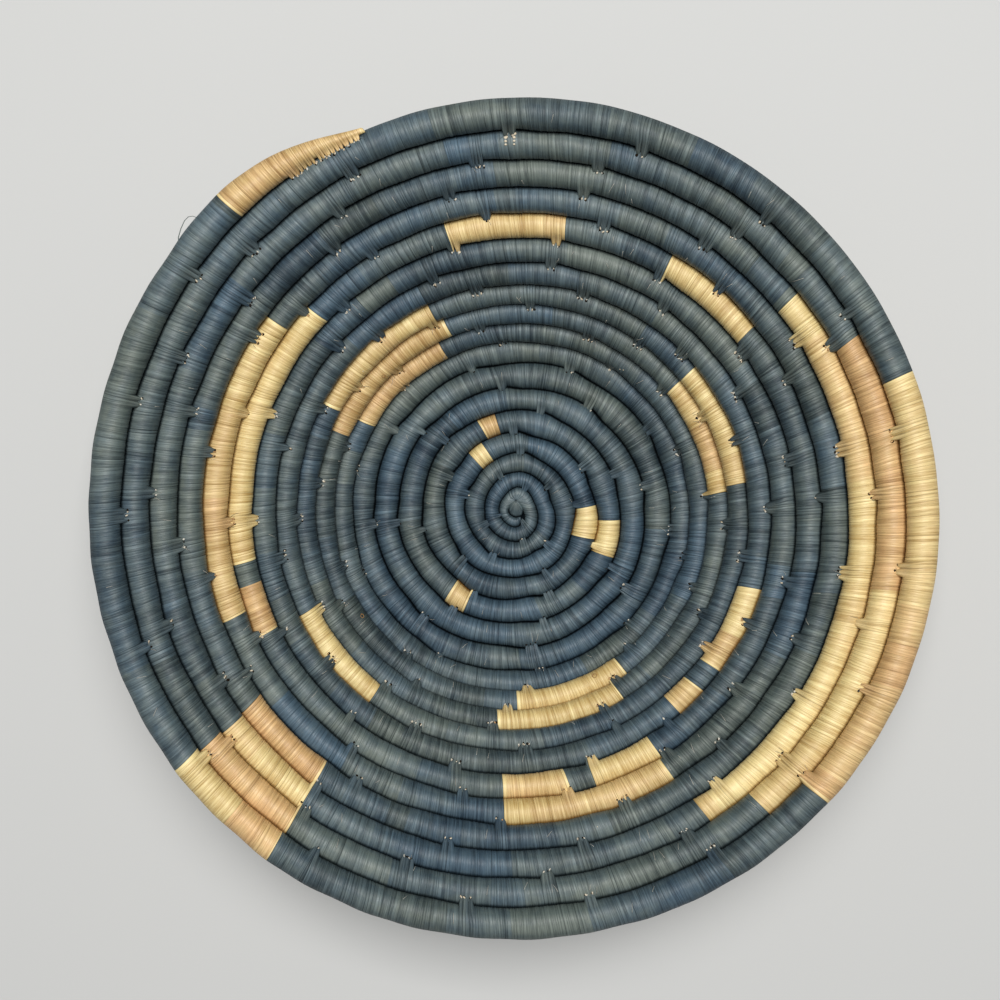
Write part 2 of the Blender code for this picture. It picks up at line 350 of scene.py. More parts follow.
pointCos, pointSin = np.cos(pointAngles), np.sin(pointAngles)
foldedAngles = np.where(pointCos > 0.0, pointAngles, math.pi - pointAngles)


def stepBetween(turn, neighbour):
    return radiusAt(neighbour) - radiusAt(turn), heightAt(neighbour) - heightAt(turn)


# Where the wall bends up, turns touch above their middles: the angle outward and inward.
def contactAt(turn):
    held = between(turn, *section["raisedTurns"])
    radiusStep, heightStep = stepBetween(turn, turn + 1.0)
    outward = np.arctan2(heightStep, radiusStep) - slopeAt(turn)
    radiusStep, heightStep = stepBetween(turn - 1.0, turn)
    inward = slopeAt(turn) - np.arctan2(heightStep, radiusStep)
    return np.where(pointCos > 0.0, (outward * held)[:, None], (inward * held)[:, None])


# Half width towards a neighbouring turn, so that the two sections just meet.
def halfWidth(turn, neighbour, up):
    radiusStep, heightStep = stepBetween(turn, neighbour)
    share = thicknessAt(turn) / (thicknessAt(turn) + thicknessAt(neighbour))
    room = np.hypot(radiusStep, heightStep) * share - section["grooveGap"] / 2.0
    tilt = np.arctan2(heightStep, radiusStep) - slopeAt(turn)
    flank = room ** -2.0 - (np.abs(np.sin(tilt)) / up) ** 2.0
    return np.abs(np.cos(tilt)) * np.maximum(flank, 1.0) ** -0.5


def halfSizes(turn):
    up = thicknessAt(turn) / 2.0 * section["heightShare"]
    up = up * (1.0 + unevenness["thicknessWave"] * waveAt(arcAt(turn), 1.7))
    inward = halfWidth(turn, np.maximum(turn - 1.0, 0.0), up)
    outward = halfWidth(turn, turn + 1.0, up)
    inward = np.where(turn < coil["startTurn"] + 1.0,
                      np.interp(turn, *section["firstInward"]), inward)
    return inward - grooveShift(turn), outward + grooveShift(turn + 1.0), up


# Radius and height of a place given along and across the coil's own slope.
def planePoint(turn, outward, upward):
    slope = slopeAt(turn)
    radius = radiusAt(turn) + outward * np.cos(slope) - upward * np.sin(slope)
    height = heightAt(turn) + outward * np.sin(slope) + upward * np.cos(slope)
    return radius, height


# Radius and height of the section's surface at one angle.
def sectionPlace(turn, degrees, scale=1.0):
    inward, outward, up = halfSizes(turn)
    cosine, sine = math.cos(math.radians(degrees)), math.sin(math.radians(degrees))
    half = (outward if cosine > 0.0 else inward) - section["slitWidth"] / 2.0
    return planePoint(turn, half * cosine * scale, up * sine * scale)


def taperAt(turn):
    share = np.clip((coil["endTurn"] - turn) / coil["thinTurns"], 0.0, 1.0)
    left = np.sin(math.pi / 2.0 * share) ** coil["thinPower"]
    past = np.clip((turn - coil["endTurn"]) / coil["roundTurns"], 0.0, 1.0)
    rounded = np.sqrt(1.0 - coil["roundShare"] * past ** 2)
    return (coil["tipShare"] + (1.0 - coil["tipShare"]) * left) * rounded


# The raffia strips, each wound once round the coil.
strips = {
    "width": 0.00102,
    "widthSpread": 0.42,
    "valley": 0.00017,
    "valleyDepths": (0.42, 0.08, 1.6),     # mean, least and most, as shares of valley
    "crown": 0.00002,
    "heightSpread": 0.00008,
    "overlap": 0.00003,
    "shoulder": 0.16,
    "lean": 0.10,
    "leanSwing": 0.05,
    "leanStart": ([1.0, 3.0], [0.0, 1.0]),
    "wall": 0.0008,
    # stitchShade paints more shade into the lines of a stitch's strips
    "stitchShade": 0.75,     # the strips of a stitch are drawn tight, with deeper lines
    "stitchValley": 0.00014,
    "stitchMargin": 0.0001,
    "strandLengths": (0.006, 0.042),       # coil that one strand covers
    "stripTone": 0.75,
    "oddStrips": (0.035, 0.8, 2.4),        # share of paler strips, and how much paler
    "middleTone": 0.5,
    "toneSpread": 0.16,
    "tintChange": (0.35, 0.3),             # where in a run the tint changes, and its span
    "paleTone": 0.9,         # the strand that binds a run off
    "paleTint": 0.4,
    "runGap": 0.00002,
    "seed": 23,
}


# Points of the coil's surface, one row for each arc, with the tongues drawn out.
def surfacePoints(arcs, lift, valleys=None):
    turn = turnAt(arcs)
    inward, outward, up = halfSizes(turn)
    half = np.where(pointCos > 0.0, outward[:, None], inward[:, None])
    contact = contactAt(turn)
    above = np.sin(contact)
    slit = section["slitWidth"] / 2.0 * ease(np.abs(pointCos), 0.0, section["slitFlank"])
    slit = slit * ease(pointSin - above, -section["slitDepth"], section["slitEase"])
    slit = slit * np.minimum(half / section["slitHalf"], 1.0)
    pressed = ease(np.abs(pointCos), *section["flatFrom"])
    pressed = pressed * (pointSin < section["flatBelow"] + above)
    across = lift[:, None] * (1.0 - section["flatFlank"] * pressed)
    out = (half - slit) * pointCos + across * pointCos
    rise = up[:, None] * pointSin + across * pointSin
    taper = taperAt(turn)
    seat = planePoint(turn, -inward, 0.0)
    radius, height = (at[:, None] + (far - at[:, None]) * taper[:, None]
                      for at, far in zip(seat, planePoint(turn[:, None], out, rise)))
    lean = strips["lean"] + strips["leanSwing"] * waveAt(arcs, 4.1)
    lean = lean * np.interp(turn, *strips["leanStart"]) * (inward + outward) / 2.0 * taper
    along = arcs[:, None] - lean[:, None] * pointCos
    grid = {"arcs": arcs, "turn": turn, "lift": lift, "seat": seat, "taper": taper,
            "along": along, "radius": radius, "height": height, "drawn": np.zeros_like(radius)}
    if valleys is not None:
        for rows, tipArc, reach, pinch in teethOn(arcs, valleys):
            for side in (1.0, -1.0):
                drawTongue(grid, rows, tipArc, reach, pinch, side)
    points = placeAround(turnAt(along), radius, height)
    fan = between(turn, *centre["fanTurns"])[:, None]
    if fan.any():
        drawFan(points, lift, fan)
    fanned = fan * (pointDegrees > centre["bareFrom"]) * (pointDegrees <= 180.0)
    paintedShade = paintedShadeOf(turn, half, up, contact, np.maximum(grid["drawn"], fanned))
    return points, out, rise, paintedShade


# Painted shade: how far each point looks up, and how far it is from where two turns touch.
# What is drawn over a groove lies bare of it, and the outside of the bowl has no painted shade.
paintedShadeSettings = {
    "closeness": 0.9,
    "upward": 0.92,
    "outside": (0.2, 0.4),   # how far down it starts, and its span
    "plain": (0.85, 1.0, 0.0),             # of the small pieces
}


def paintedShadeOf(turn, half, up, contact, bare):
    slope = slopeAt(turn)[:, None]
    acrossPart, upPart = pointCos / half, pointSin / up[:, None]
    upward = acrossPart * np.sin(slope) + upPart * np.cos(slope)
    upward = upward / np.hypot(acrossPart, upPart)
    free = (turn[:, None] > coil["endTurn"] - 1.0) & (pointCos > 0.0)
    closeness = np.where(free, 1.0, np.abs(np.sin(foldedAngles - contact)))
    closeness = np.maximum(closeness, paintedShadeSettings["closeness"] * bare)
    upward = upward + np.maximum(paintedShadeSettings["upward"] - upward, 0.0) * bare
    upward = np.maximum(upward, ease(-pointSin, *paintedShadeSettings["outside"]))
    return np.stack([upward, closeness, np.zeros_like(upward)], axis=-1)


# At the top of the first turn the strips run on inwards to one point, like a fan.
centre = {
    "pole": (0.0001, 0.0046),             # from the spiral's axis
    "poleHeight": 0.0043,
    "spotRadius": 0.00028,
    "sink": 0.0004,
    "sunk": (0.8, 0.2),      # from this share of the way in, with its span
    "footPower": 4,          # how soon the bottom falls away from that point
    "bareFrom": 60.0,        # degrees round the section
    "fanTurns": (0.53, 1.01, 0.09, 0.12),
}


def drawFan(points, lift, fan):
    topColumns = np.where((pointDegrees >= 90.0) & (pointDegrees <= 180.0))[0]
    lowColumns = np.where(pointDegrees > 180.0)[0]
    crown = points[:, topColumns[0]][:, None]
    foot = points[:, -1][:, None]
    pole = np.array([*centre["pole"], centre["poleHeight"]]) - (middleX, middleY, 0.0)
    way = crown[..., :2] - pole[:2]
    way = way / np.maximum(np.linalg.norm(way, axis=-1, keepdims=True), 1e-6)
    end = np.concatenate([pole[:2] + way * centre["spotRadius"],
                          np.full(way.shape[:-1] + (1,), pole[2])], axis=-1)
    share = ((pointDegrees[topColumns] - 90.0) / 90.0)[None, :, None]
    top = crown + (end - crown) * share
    top[..., 2] += lift[:, None] * (1.0 - share[..., 0]) * (share[..., 0] > 0.0)
    top[..., 2] -= centre["sink"] * ease(share[..., 0], *centre["sunk"])
    share = ((pointDegrees[lowColumns] - 180.0) / 90.0)[None, :, None]
    low = end + (foot - end) * share
    fallen = (1.0 - share[..., 0]) ** centre["footPower"]
    low[..., 2] = foot[..., 2] + (pole[2] - centre["sink"] - foot[..., 2]) * fallen
    for columns, target in ((topColumns, top), (lowColumns, low)):
        points[:, columns] += (target - points[:, columns]) * fan[:, :, None]


# How high on the turn inside a stitch of this reach bites, as an angle round the section.
def biteDegrees(inner, reach):
    innerHalf = halfSizes(inner)[1]
    return np.degrees(np.arccos(np.clip(1.0 - reach / innerHalf, *stitch["biteRange"])))


# The rows of strips that each tooth of a stitch draws out, and the rows between two teeth.
def teethOn(arcs, valleys):
    def nearest(arc):
        return int(np.argmin(np.abs(valleys - arc)))

    teeth = []
    for tipArc, firstArc, lastArc, reach, pinch in tips:
        if lastArc >= arcs[0] and firstArc <= arcs[-1]:
            low, high = nearest(firstArc), nearest(lastArc)
            rows = np.where((arcs > valleys[low] + 1e-6) & (arcs < valleys[high] - 1e-6))[0]
            pinch = pinch * (stitch["singlePinch"] if high - low < 2 else 1.0)
            teeth.append((rows, tipArc, reach, pinch))
    for web in webs:
        if arcs[0] + stitch["webMargin"] < web < arcs[-1] - stitch["webMargin"]:
            rows = np.where(np.abs(arcs - valleys[nearest(web)]) < 1e-7)[0]
            teeth.append((rows, web, stitch["webReach"], stitch["pinch"]))
    return [tooth for tooth in teeth if len(tooth[0]) > 0]


# A tongue runs from its shoulder over the groove, where it sags, to its tip, then inside.
tongue = {
    "shoulderDegrees": 104.0,
    "tipScale": 1.035,
    "insideScale": 0.70,
    "sag": 0.00035,
    "stops": [1.0 / 9.0, 3.0 / 9.0, 5.0 / 9.0, 7.0 / 9.0, 1.0],
    "gather": (35.0, 105.0),              # from where, in degrees, with its span
    "gatherEnd": (0.86, 0.14),            # the same, as shares of the way
    "easeIn": 0.22,
    "liftUntil": 0.66,
    "bareUntil": 0.80,
    "bareSpan": 0.12,
}


# Draws the strips of one stitch over the groove and gathers them at its tip.
def drawTongue(grid, rows, tipArc, reach, pinch, side):
    degrees = pointDegrees if side > 0.0 else (360.0 - pointDegrees) % 360.0
    reachShare = np.clip((degrees - 90.0) / 90.0, 0.0, 1.0) * (degrees <= 180.0)
    gather = ease(degrees, *tongue["gather"]) * (degrees <= 180.0)
    gather = gather * (1.0 - ease(reachShare, *tongue["gatherEnd"]))
    columns = np.where(gather > 0.0)[0]
    block = np.ix_(rows, columns)
    spread = (grid["arcs"][rows] - tipArc)[:, None]
    grid["along"][block] -= spread * pinch * gather[columns]
    turn, taper = grid["turn"][rows], grid["taper"][rows]
    inner = turn - 1.0
    tipDegrees = float(np.mean(biteDegrees(inner, reach))) * side
    shoulder = sectionPlace(turn, tongue["shoulderDegrees"] * side)
    shoulder = [at[rows] + (far - at[rows]) * taper for at, far in zip(grid["seat"], shoulder)]
    tip = sectionPlace(inner, tipDegrees, tongue["tipScale"])
    inside = sectionPlace(inner, tipDegrees, tongue["insideScale"])
    back = sectionPlace(turn, 180.0)
    half = [(shoulder[k] + tip[k]) / 2.0 for k in (0, 1)]
    half[1] = half[1] - tongue["sag"] * side
    shares = reachShare[columns]
    weight = ease(shares, 0.0, tongue["easeIn"])
    for k, label in enumerate(("radius", "height")):
        ladder = np.stack([shoulder[k], half[k], tip[k], inside[k], back[k]], axis=-1)
        target = np.stack([np.interp(shares, tongue["stops"], row) for row in ladder])
        if label == "height":
            onTop = (shares < tongue["liftUntil"])[None, :]
            target = target + grid["lift"][rows][:, None] * side * onTop
        grid[label][block] = grid[label][block] * (1.0 - weight) + target * weight
    bare = weight * ease(-shares, -tongue["bareUntil"], tongue["bareSpan"])
    grid["drawn"][block] = np.maximum(grid["drawn"][block], bare)


# Arcs, lifts, strips and ridges of the stations: three to a strip, the first in the line
# before it. The last array is the edges between the strips.
def layStrips(random, firstArc, lastArc):
    count = max(3, int(round((lastArc - firstArc) / strips["width"])))
    widths = random.uniform(1.0 - strips["widthSpread"], 1.0 + strips["widthSpread"], count)
    edges = firstArc + (lastArc - firstArc) * np.concatenate([[0.0], np.cumsum(widths)])
    edges = firstArc + (edges - firstArc) / widths.sum()
    crown = strips["crown"] + random.uniform(-1.0, 1.0, count) * strips["heightSpread"]
    lap = random.uniform(-1.0, 1.0, count) * strips["overlap"]
    mean, least, most = strips["valleyDepths"]
    depth = np.clip(random.exponential(mean, count + 1), least, most)
    near = strips["shoulder"] * np.diff(edges)
    arcs = np.stack([edges[:-1], edges[:-1] + near, edges[1:] - near], axis=-1)
    lift = np.stack([-strips["valley"] * depth[:-1], crown - lap, crown + lap], axis=-1)
    low = 1.0 - np.minimum(depth, 1.0)
    ridge = np.stack([low[:-1], np.ones(count), np.ones(count)], axis=-1)
    owner = np.append(np.repeat(np.arange(count), 3), count - 1)
    return (np.append(arcs, lastArc), np.append(lift, -strips["valley"] * depth[-1]), owner,
            np.append(ridge, low[-1]), edges)


# A tone and a tint for every strip: those of one strand go together.
def toneStrips(random, edges, tones):
    count = len(edges) - 1
    tone, tint = np.zeros(count), np.zeros(count)
    middles = (edges[:-1] + edges[1:]) / 2.0
    place = edges[0]
    while place < edges[-1]:
        length = random.uniform(*strips["strandLengths"])
        chosen = (edges[:-1] >= place) & (edges[:-1] < place + length)
        share = (place + length / 2.0 - edges[0]) / (edges[-1] - edges[0])
        changed = ease(min(share, 1.0), *strips["tintChange"])
        middle = tones["first"] + (tones["last"] - tones["first"]) * changed
        tone[chosen] = random.normal(0.0, 1.0)
        tint[chosen] = middle + random.normal(0.0, 1.0) * tones["strand"]
        place += length
    tone = tone * tones["step"] + random.normal(0.0, 1.0, count) * strips["stripTone"]
    tone = tone + tones["wave"] * fadeAt(middles, 0.0)
    tone = tone + np.interp(turnAt(middles), *tones["byTurn"])
    oddShare, least, most = strips["oddStrips"]
    odd = random.uniform(0.0, 1.0, count) < oddShare
    tone = tone + odd * random.uniform(least, most, count)
    tint = tint + tones["fade"] * fadeAt(middles, 2.0)
    tint = tint + random.normal(0.0, 1.0, count) * tones["strip"]
    tone = np.clip(strips["middleTone"] + strips["toneSpread"] * tone, 0.0, 1.0)
    tint = np.clip(tint, 0.0, 1.0)
    for pale, place in ((tones["paleStart"], 0), (tones["paleEnd"], -1)):
        if pale:
            tone[place], tint[place] = strips["paleTone"], strips["paleTint"] * tint[place]
    return tone, tint


# Quads between rings of points that follow each other from the given first point on.
def ringFaces(first, rings, size):
    here = np.arange(size)
    rows = first + np.arange(rings - 1)[:, None] * size
    one, two = rows + here, rows + (here + 1) % size
    return np.stack([one, two, two + size, one + size], axis=-1).reshape(-1, 4)


# Faces of a sleeve: its outer skin, its inner skin turned round, and its two ends, each
# closed by caps or joined by a ring.
def sleeveFaces(outerRings, innerRings, size, closedStart, closedEnd):
    here = np.arange(size)
    after = (here + 1) % size
    shift = outerRings * size
    faces = ringFaces(0, outerRings, size).tolist()
    faces += ringFaces(shift, innerRings, size)[:, ::-1].tolist()
    ends = ((closedStart, 0, shift, -1),
            (closedEnd, shift - size, shift + (innerRings - 1) * size, 1))
    for closed, outer, inner, way in ends:
        if closed:
            faces += [(outer + here)[::way].tolist(), (inner + here)[::-way].tolist()]
        else:
            edge = np.stack([outer + here, outer + after, inner + after, inner + here], axis=-1)
            faces += edge[:, ::way].tolist()
    return faces


def newPiece(name, points, faces):
    mesh = bpy.data.meshes.new(name)
    mesh.from_pydata(points.reshape(-1, 3).tolist(), [], faces)
    mesh.shade_smooth()
    piece = bpy.data.objects.new(name, mesh)
    bpy.context.scene.collection.objects.link(piece)
    return piece


def pointsOf(mesh):
    points = np.empty(len(mesh.vertices) * 3)
    mesh.vertices.foreach_get("co", points)
    return points.reshape(-1, 3)


# Gives a piece its material and body, and what the material reads: the straightened
# place on the coil, the strip's tone, tint, chance and ridge, and its painted shade.
def finishPiece(piece, places, strand, material, node=None,
                paintedShade=paintedShadeSettings["plain"]):
    mesh = piece.data
    for label, kind, values in (("paintedShade", "vector", paintedShade), ("coilPlace", "vector", places),
                                ("strand", "color", strand)):
        size = 4 if kind == "color" else 3
        values = np.asarray(values, dtype=np.float32).reshape(-1, size)
        values = np.broadcast_to(values, (len(mesh.vertices), size))
        attribute = mesh.attributes.new(label, "FLOAT_" + kind.upper(), "POINT")
        attribute.data.foreach_set(kind, values.ravel())
    mesh.materials.clear()
    mesh.materials.append(material)
    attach(piece, "root")
    if node:
        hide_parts(node)


# How the wrap ends at the knob and at the tip, and its inner skin.
wrapEnds = {
    "startRound": 0.0016,
    "startLeast": 0.02,
    "startInset": 0.0015,
    "tipLength": 0.0010,
    "tipStations": 5,
    "tipInset": 0.012,
    "innerSpacing": 0.004,
    "innerStrand": (0.3, 0.3, 0.5, 0.0),
}


# One run of raffia as a sleeve of strips round the grass.
def addWrap(name, firstTurn, lastTurn, tones, material, node, order):
    random = np.random.default_rng(strips["seed"] + order)
    firstArc, lastArc = arcAt(firstTurn) + strips["runGap"], arcAt(lastTurn) - strips["runGap"]
    arcs, lift, owner, ridge, edges = layStrips(random, firstArc, lastArc)
    tone, tint = toneStrips(random, edges, tones)
    chance = random.uniform(0.0, 1.0, len(tone))
    closedStart = firstTurn <= coil["startTurn"]
    closedEnd = lastTurn >= coil["endTurn"]
    if closedEnd:
        extra = np.linspace(0.0, wrapEnds["tipLength"], wrapEnds["tipStations"] + 1)[1:]
        arcs, lift = np.append(arcs, lastArc + extra), np.append(lift, 0.0 * extra)
        owner = np.append(owner, np.full(len(extra), owner[-1]))
        ridge = np.append(ridge, np.ones(len(extra)))
    margin = strips["stitchMargin"]
    gathered = (arcs[:, None] > tips[:, 1] + margin) & (arcs[:, None] < tips[:, 2] - margin)
    gathered = gathered.any(axis=1) & (ridge < 1.0)
    ridge = np.where(gathered, np.maximum(ridge - strips["stitchShade"], 0.0), ridge)
    lift = np.where(gathered, lift - strips["stitchValley"], lift)
    outer, out, rise, paintedShade = surfacePoints(arcs, lift, edges)
    if closedStart:
        shrink = np.clip((arcs - firstArc) / wrapEnds["startRound"], wrapEnds["startLeast"], 1.0)
        centres = outer.mean(axis=1, keepdims=True)
        outer = centres + (outer - centres) * np.sqrt(shrink)[:, None, None]
    innerFirst = firstArc + (wrapEnds["startInset"] if closedStart else 0.0)
    innerLast = lastArc - (wrapEnds["tipInset"] if closedEnd else 0.0)
    innerCount = max(3, int((innerLast - innerFirst) / wrapEnds["innerSpacing"]))
    innerArcs = np.linspace(innerFirst, innerLast, innerCount)
    inner, _, _, innerPaintedShade = surfacePoints(innerArcs, np.full(innerCount, -strips["wall"]))
    size = outer.shape[1]
    places = np.stack(np.broadcast_arrays(arcs[:, None], out, rise), axis=-1)
    innerPlaces = np.zeros_like(inner)
    innerPlaces[..., 0] = innerArcs[:, None]
    strand = np.stack([tone[owner], tint[owner], chance[owner], ridge], axis=-1)
    strand = np.concatenate([np.repeat(strand, size, axis=0),
                             np.tile(wrapEnds["innerStrand"], (innerCount * size, 1))])
    piece = newPiece(name, np.concatenate([outer, inner]),
                     sleeveFaces(len(outer), innerCount, size, closedStart, closedEnd))
    finishPiece(piece, np.concatenate([places, innerPlaces]), strand, material, node,
                np.concatenate([paintedShade, innerPaintedShade]))


# Shader groups that all the fibres use. Their inputs have the names that the looks below
# use, and each kind of socket is followed by its names.
def newGroup(name, inputs, outputs):
    group = bpy.data.node_groups.new(name, "ShaderNodeTree")
    for side, sockets in (("INPUT", inputs), ("OUTPUT", outputs)):
        for kind, labels in sockets:
            for label in labels.split():
                group.interface.new_socket(label, in_out=side, socket_type="NodeSocket" + kind)
    given, result = group.nodes.new("NodeGroupInput"), group.nodes.new("NodeGroupOutput")
    return group, given.outputs, result.inputs


# Sets a socket to a value or links it to another socket.
def feed(tree, socket, value):
    if isinstance(value, (int, float, tuple)):
        socket.default_value = value
    else:
        tree.links.new(value, socket)


def mathNode(tree, operation, *values):
    node = tree.nodes.new("ShaderNodeMath")
    node.operation = operation
    for k, value in enumerate(values):
        feed(tree, node.inputs[k], value)
    return node.outputs[0]


def vectorNode(tree, operation, first, second):
    node = tree.nodes.new("ShaderNodeVectorMath")
    node.operation = operation
    feed(tree, node.inputs[0], first)
    feed(tree, node.inputs[1], second)
    return node.outputs[0]


def mixColour(tree, share, first, second, blend="MIX"):
    node = tree.nodes.new("ShaderNodeMix")
    node.data_type = "RGBA"
    node.blend_type = blend
    for k, value in ((0, share), (6, first), (7, second)):
        feed(tree, node.inputs[k], value)
    return node.outputs[2]


def mapRange(tree, value, fromMin, fromMax, toMin=0.0, toMax=1.0, curve="LINEAR"):
    node = tree.nodes.new("ShaderNodeMapRange")
    node.interpolation_type = curve
    for label, given in (("Value", value), ("From Min", fromMin), ("From Max", fromMax),
                         ("To Min", toMin), ("To Max", toMax)):
        feed(tree, node.inputs[label], given)
    return node.outputs["Result"]


def noise(tree, vector, scale, detail, roughness=0.5):
    node = tree.nodes.new("ShaderNodeTexNoise")
    for label, given in (("Vector", vector), ("Scale", scale), ("Detail", detail),
                         ("Roughness", roughness)):
        feed(tree, node.inputs[label], given)
    return node.outputs["Fac"]


# Fine fibres that run round the coil, broader streaks, and cloudy patches: how dense they
# are along the coil and across it, their detail and roughness, and how much they colour.
grain = {
    "fibre": ((4200.0, 90.0, 90.0), 2.0, 0.5, 1.5),
    "streak": ((1500.0, 140.0, 140.0), 3.0, 0.6, 1.1),
    "cloud": ((120.0, 160.0, 160.0), 3.0, 0.6, 0.5),
    "cloudTint": 1.1,
    "chanceShift": 0.35,     # between neighbouring strips
    "valleyPower": 1.4,
    # painted shade, by how far a point looks up and how near it is to where two turns touch
    "shades": (("upward", "flank", "LINEAR", 0.70, 1.0),
               ("closeness", "groove", "SMOOTHSTEP", 0.07, 0.40)),
    "bumpStreak": 0.55,
    "bumpFibre": 0.45,
    "dullTone": (0.4, -0.1),
    "dullStreak": 0.8,
    "dullRange": (0.15, 0.85),
}


def makeFibreGrain():
    group, given, result = newGroup("fibreGrain", [("Vector", "place"), ("Float", "chance")],
                                    [("Float", "fibre streak cloud")])
    spread = group.nodes.new("ShaderNodeCombineXYZ")
    feed(group, spread.inputs["Y"], mathNode(group, "MULTIPLY", given["chance"],
                                          grain["chanceShift"]))
    moved = vectorNode(group, "ADD", given["place"], spread.outputs[0])
    for label, place in (("fibre", moved), ("streak", moved), ("cloud", given["place"])):
        scale, detail, roughness, _ = grain[label]
        place = vectorNode(group, "MULTIPLY", place, scale)
        feed(group, result[label], noise(group, place, 1.0, detail, roughness))
    return group


# Colour of a strip from its tone and tint, with painted shade between the strips and turns.
def makeFibreColour():
    group, given, result = newGroup(
        "fibreColour",
        [("Color", "deep light deepTinted lightTinted valley flank groove"),
         ("Float", "tone tint ridge fibre streak cloud valleyShare upward closeness")],
        [("Color", "colour")])

    def vary(value, label, amount):
        change = mathNode(group, "MULTIPLY_ADD", given[label], amount, -amount / 2.0)
        return mathNode(group, "ADD", value, change)

    tone = given["tone"]
    for label in ("streak", "fibre", "cloud"):
        tone = vary(tone, label, grain[label][3])
    plain = mixColour(group, tone, given["deep"], given["light"])
    tinted = mixColour(group, tone, given["deepTinted"], given["lightTinted"])
    colour = mixColour(group, vary(given["tint"], "cloud", grain["cloudTint"]), plain, tinted)
    # painted shade in the lines between the strips
    low = mathNode(group, "SUBTRACT", 1.0, given["ridge"])
    low = mathNode(group, "POWER", low, grain["valleyPower"])
    low = mathNode(group, "MULTIPLY", low, given["valleyShare"])
    colour = mixColour(group, low, colour, given["valley"])
    # painted shade: darker where the surface doesn't look up and where two turns touch
    for label, lowest, curve, first, last in grain["shades"]:
        lit = mapRange(group, given[label], first, last, curve=curve)
        held = mixColour(group, lit, given[lowest], (1.0, 1.0, 1.0, 1.0))
        colour = mixColour(group, 1.0, colour, held, "MULTIPLY")
    feed(group, result["colour"], colour)
    return group


# Height of the fibres for the bump, and how dull they are.
def makeFibreSurface():
    group, given, result = newGroup(
        "fibreSurface", [("Float", "fibre streak tone dullest smoothest")],
        [("Float", "height roughness")])
    height = mathNode(group, "MULTIPLY", given["streak"], grain["bumpStreak"])
    height = mathNode(group, "MULTIPLY_ADD", given["fibre"], grain["bumpFibre"], height)
    feed(group, result["height"], height)
    dull = mathNode(group, "MULTIPLY_ADD", given["tone"], *grain["dullTone"])
    dull = mathNode(group, "MULTIPLY_ADD", given["streak"], grain["dullStreak"], dull)
    feed(group, result["roughness"], mapRange(group, dull, *grain["dullRange"],
                                              given["dullest"], given["smoothest"]))
    return group


fibreGroups = (makeFibreGrain(), makeFibreColour(), makeFibreSurface())


def newMaterial(name, gloss, roughness=0.5):
    material = bpy.data.materials.new(name)
    material.use_nodes = True
    shader = material.node_tree.nodes["Principled BSDF"]
    shader.inputs["Roughness"].default_value = roughness
    shader.inputs["Specular IOR Level"].default_value = gloss
    return material, material.node_tree, shader.inputs


# Fibre that reads its strips from the pieces' attributes. Each group takes what it needs
# from the look and from what the attributes and the groups before it give.
def fibreMaterial(name, look):
    material, tree, shader = newMaterial(name, look["gloss"])
    found = {}
    for label in ("coilPlace", "strand", "paintedShade"):
        node = tree.nodes.new("ShaderNodeAttribute")
        node.attribute_name = label
        found[label] = node.outputs
    strand = tree.nodes.new("ShaderNodeSeparateColor")
    feed(tree, strand.inputs[0], found["strand"]["Color"])
    paintedShade = tree.nodes.new("ShaderNodeSeparateXYZ")
    feed(tree, paintedShade.inputs[0], found["paintedShade"]["Vector"])
    place = vectorNode(tree, "MULTIPLY", found["coilPlace"]["Vector"], look["stretch"])
    values = {**look, "place": place, "ridge": found["strand"]["Alpha"],
              "tone": strand.outputs[0], "tint": strand.outputs[1],
              "chance": strand.outputs[2], "upward": paintedShade.outputs[0],
              "closeness": paintedShade.outputs[1]}
    for group in fibreGroups:
        node = tree.nodes.new("ShaderNodeGroup")
        node.node_tree = group
        for socket in node.inputs:
            feed(tree, socket, values[socket.name])
        values.update({socket.name: socket for socket in node.outputs})
    bump = tree.nodes.new("ShaderNodeBump")
    bump.inputs["Strength"].default_value = look["bump"]
    bump.inputs["Distance"].default_value = look["bumpHeight"]
    feed(tree, bump.inputs["Height"], values["height"])
    feed(tree, shader["Normal"], bump.outputs["Normal"])
    feed(tree, shader["Base Color"], values["colour"])
    feed(tree, shader["Roughness"], values["roughness"])
    return material


dyedLook = {
    "deep": (0.021, 0.039, 0.060, 1.0),
    "light": (0.108, 0.167, 0.219, 1.0),
    "deepTinted": (0.040, 0.053, 0.050, 1.0),
    "lightTinted": (0.193, 0.225, 0.202, 1.0),
    # painted shade: in the lines between strips, on what doesn't look up, and where two turns
    # touch
    "valley": (0.006, 0.012, 0.016, 1.0),      # in the lines between strips
    "valleyShare": 0.75,
    "flank": (0.60, 0.66, 0.68, 1.0),          # what doesn't look up is shaded by this
    "groove": (0.02, 0.05, 0.07, 1.0),         # the same where two turns touch
    "dullest": 0.56,
    "smoothest": 0.38,
    "gloss": 0.34,
    "bump": 0.75,
    "bumpHeight": 0.0003,
    "stretch": (1.0, 1.0, 1.0),                # of the grain
}
undyedLook = {
    **dyedLook,
    "deep": (0.500, 0.330, 0.115, 1.0),
    "light": (0.960, 0.800, 0.415, 1.0),
    "deepTinted": (0.340, 0.185, 0.075, 1.0),
    "lightTinted": (0.820, 0.540, 0.270, 1.0),
    "valley": (0.150, 0.075, 0.025, 1.0),
    "valleyShare": 0.60,
    "flank": (0.86, 0.84, 0.76, 1.0),
    "groove": (0.50, 0.36, 0.20, 1.0),
    "smoothest": 0.36,
    "gloss": 0.40,
    "bump": 0.70,
}
wornLook = {                 # the frayed ends at the stitches
    **undyedLook,
    "deep": (0.300, 0.290, 0.265, 1.0),
    "light": (0.760, 0.750, 0.700, 1.0),
    "deepTinted": (0.330, 0.250, 0.170, 1.0),
    "lightTinted": (0.800, 0.690, 0.520, 1.0),
}
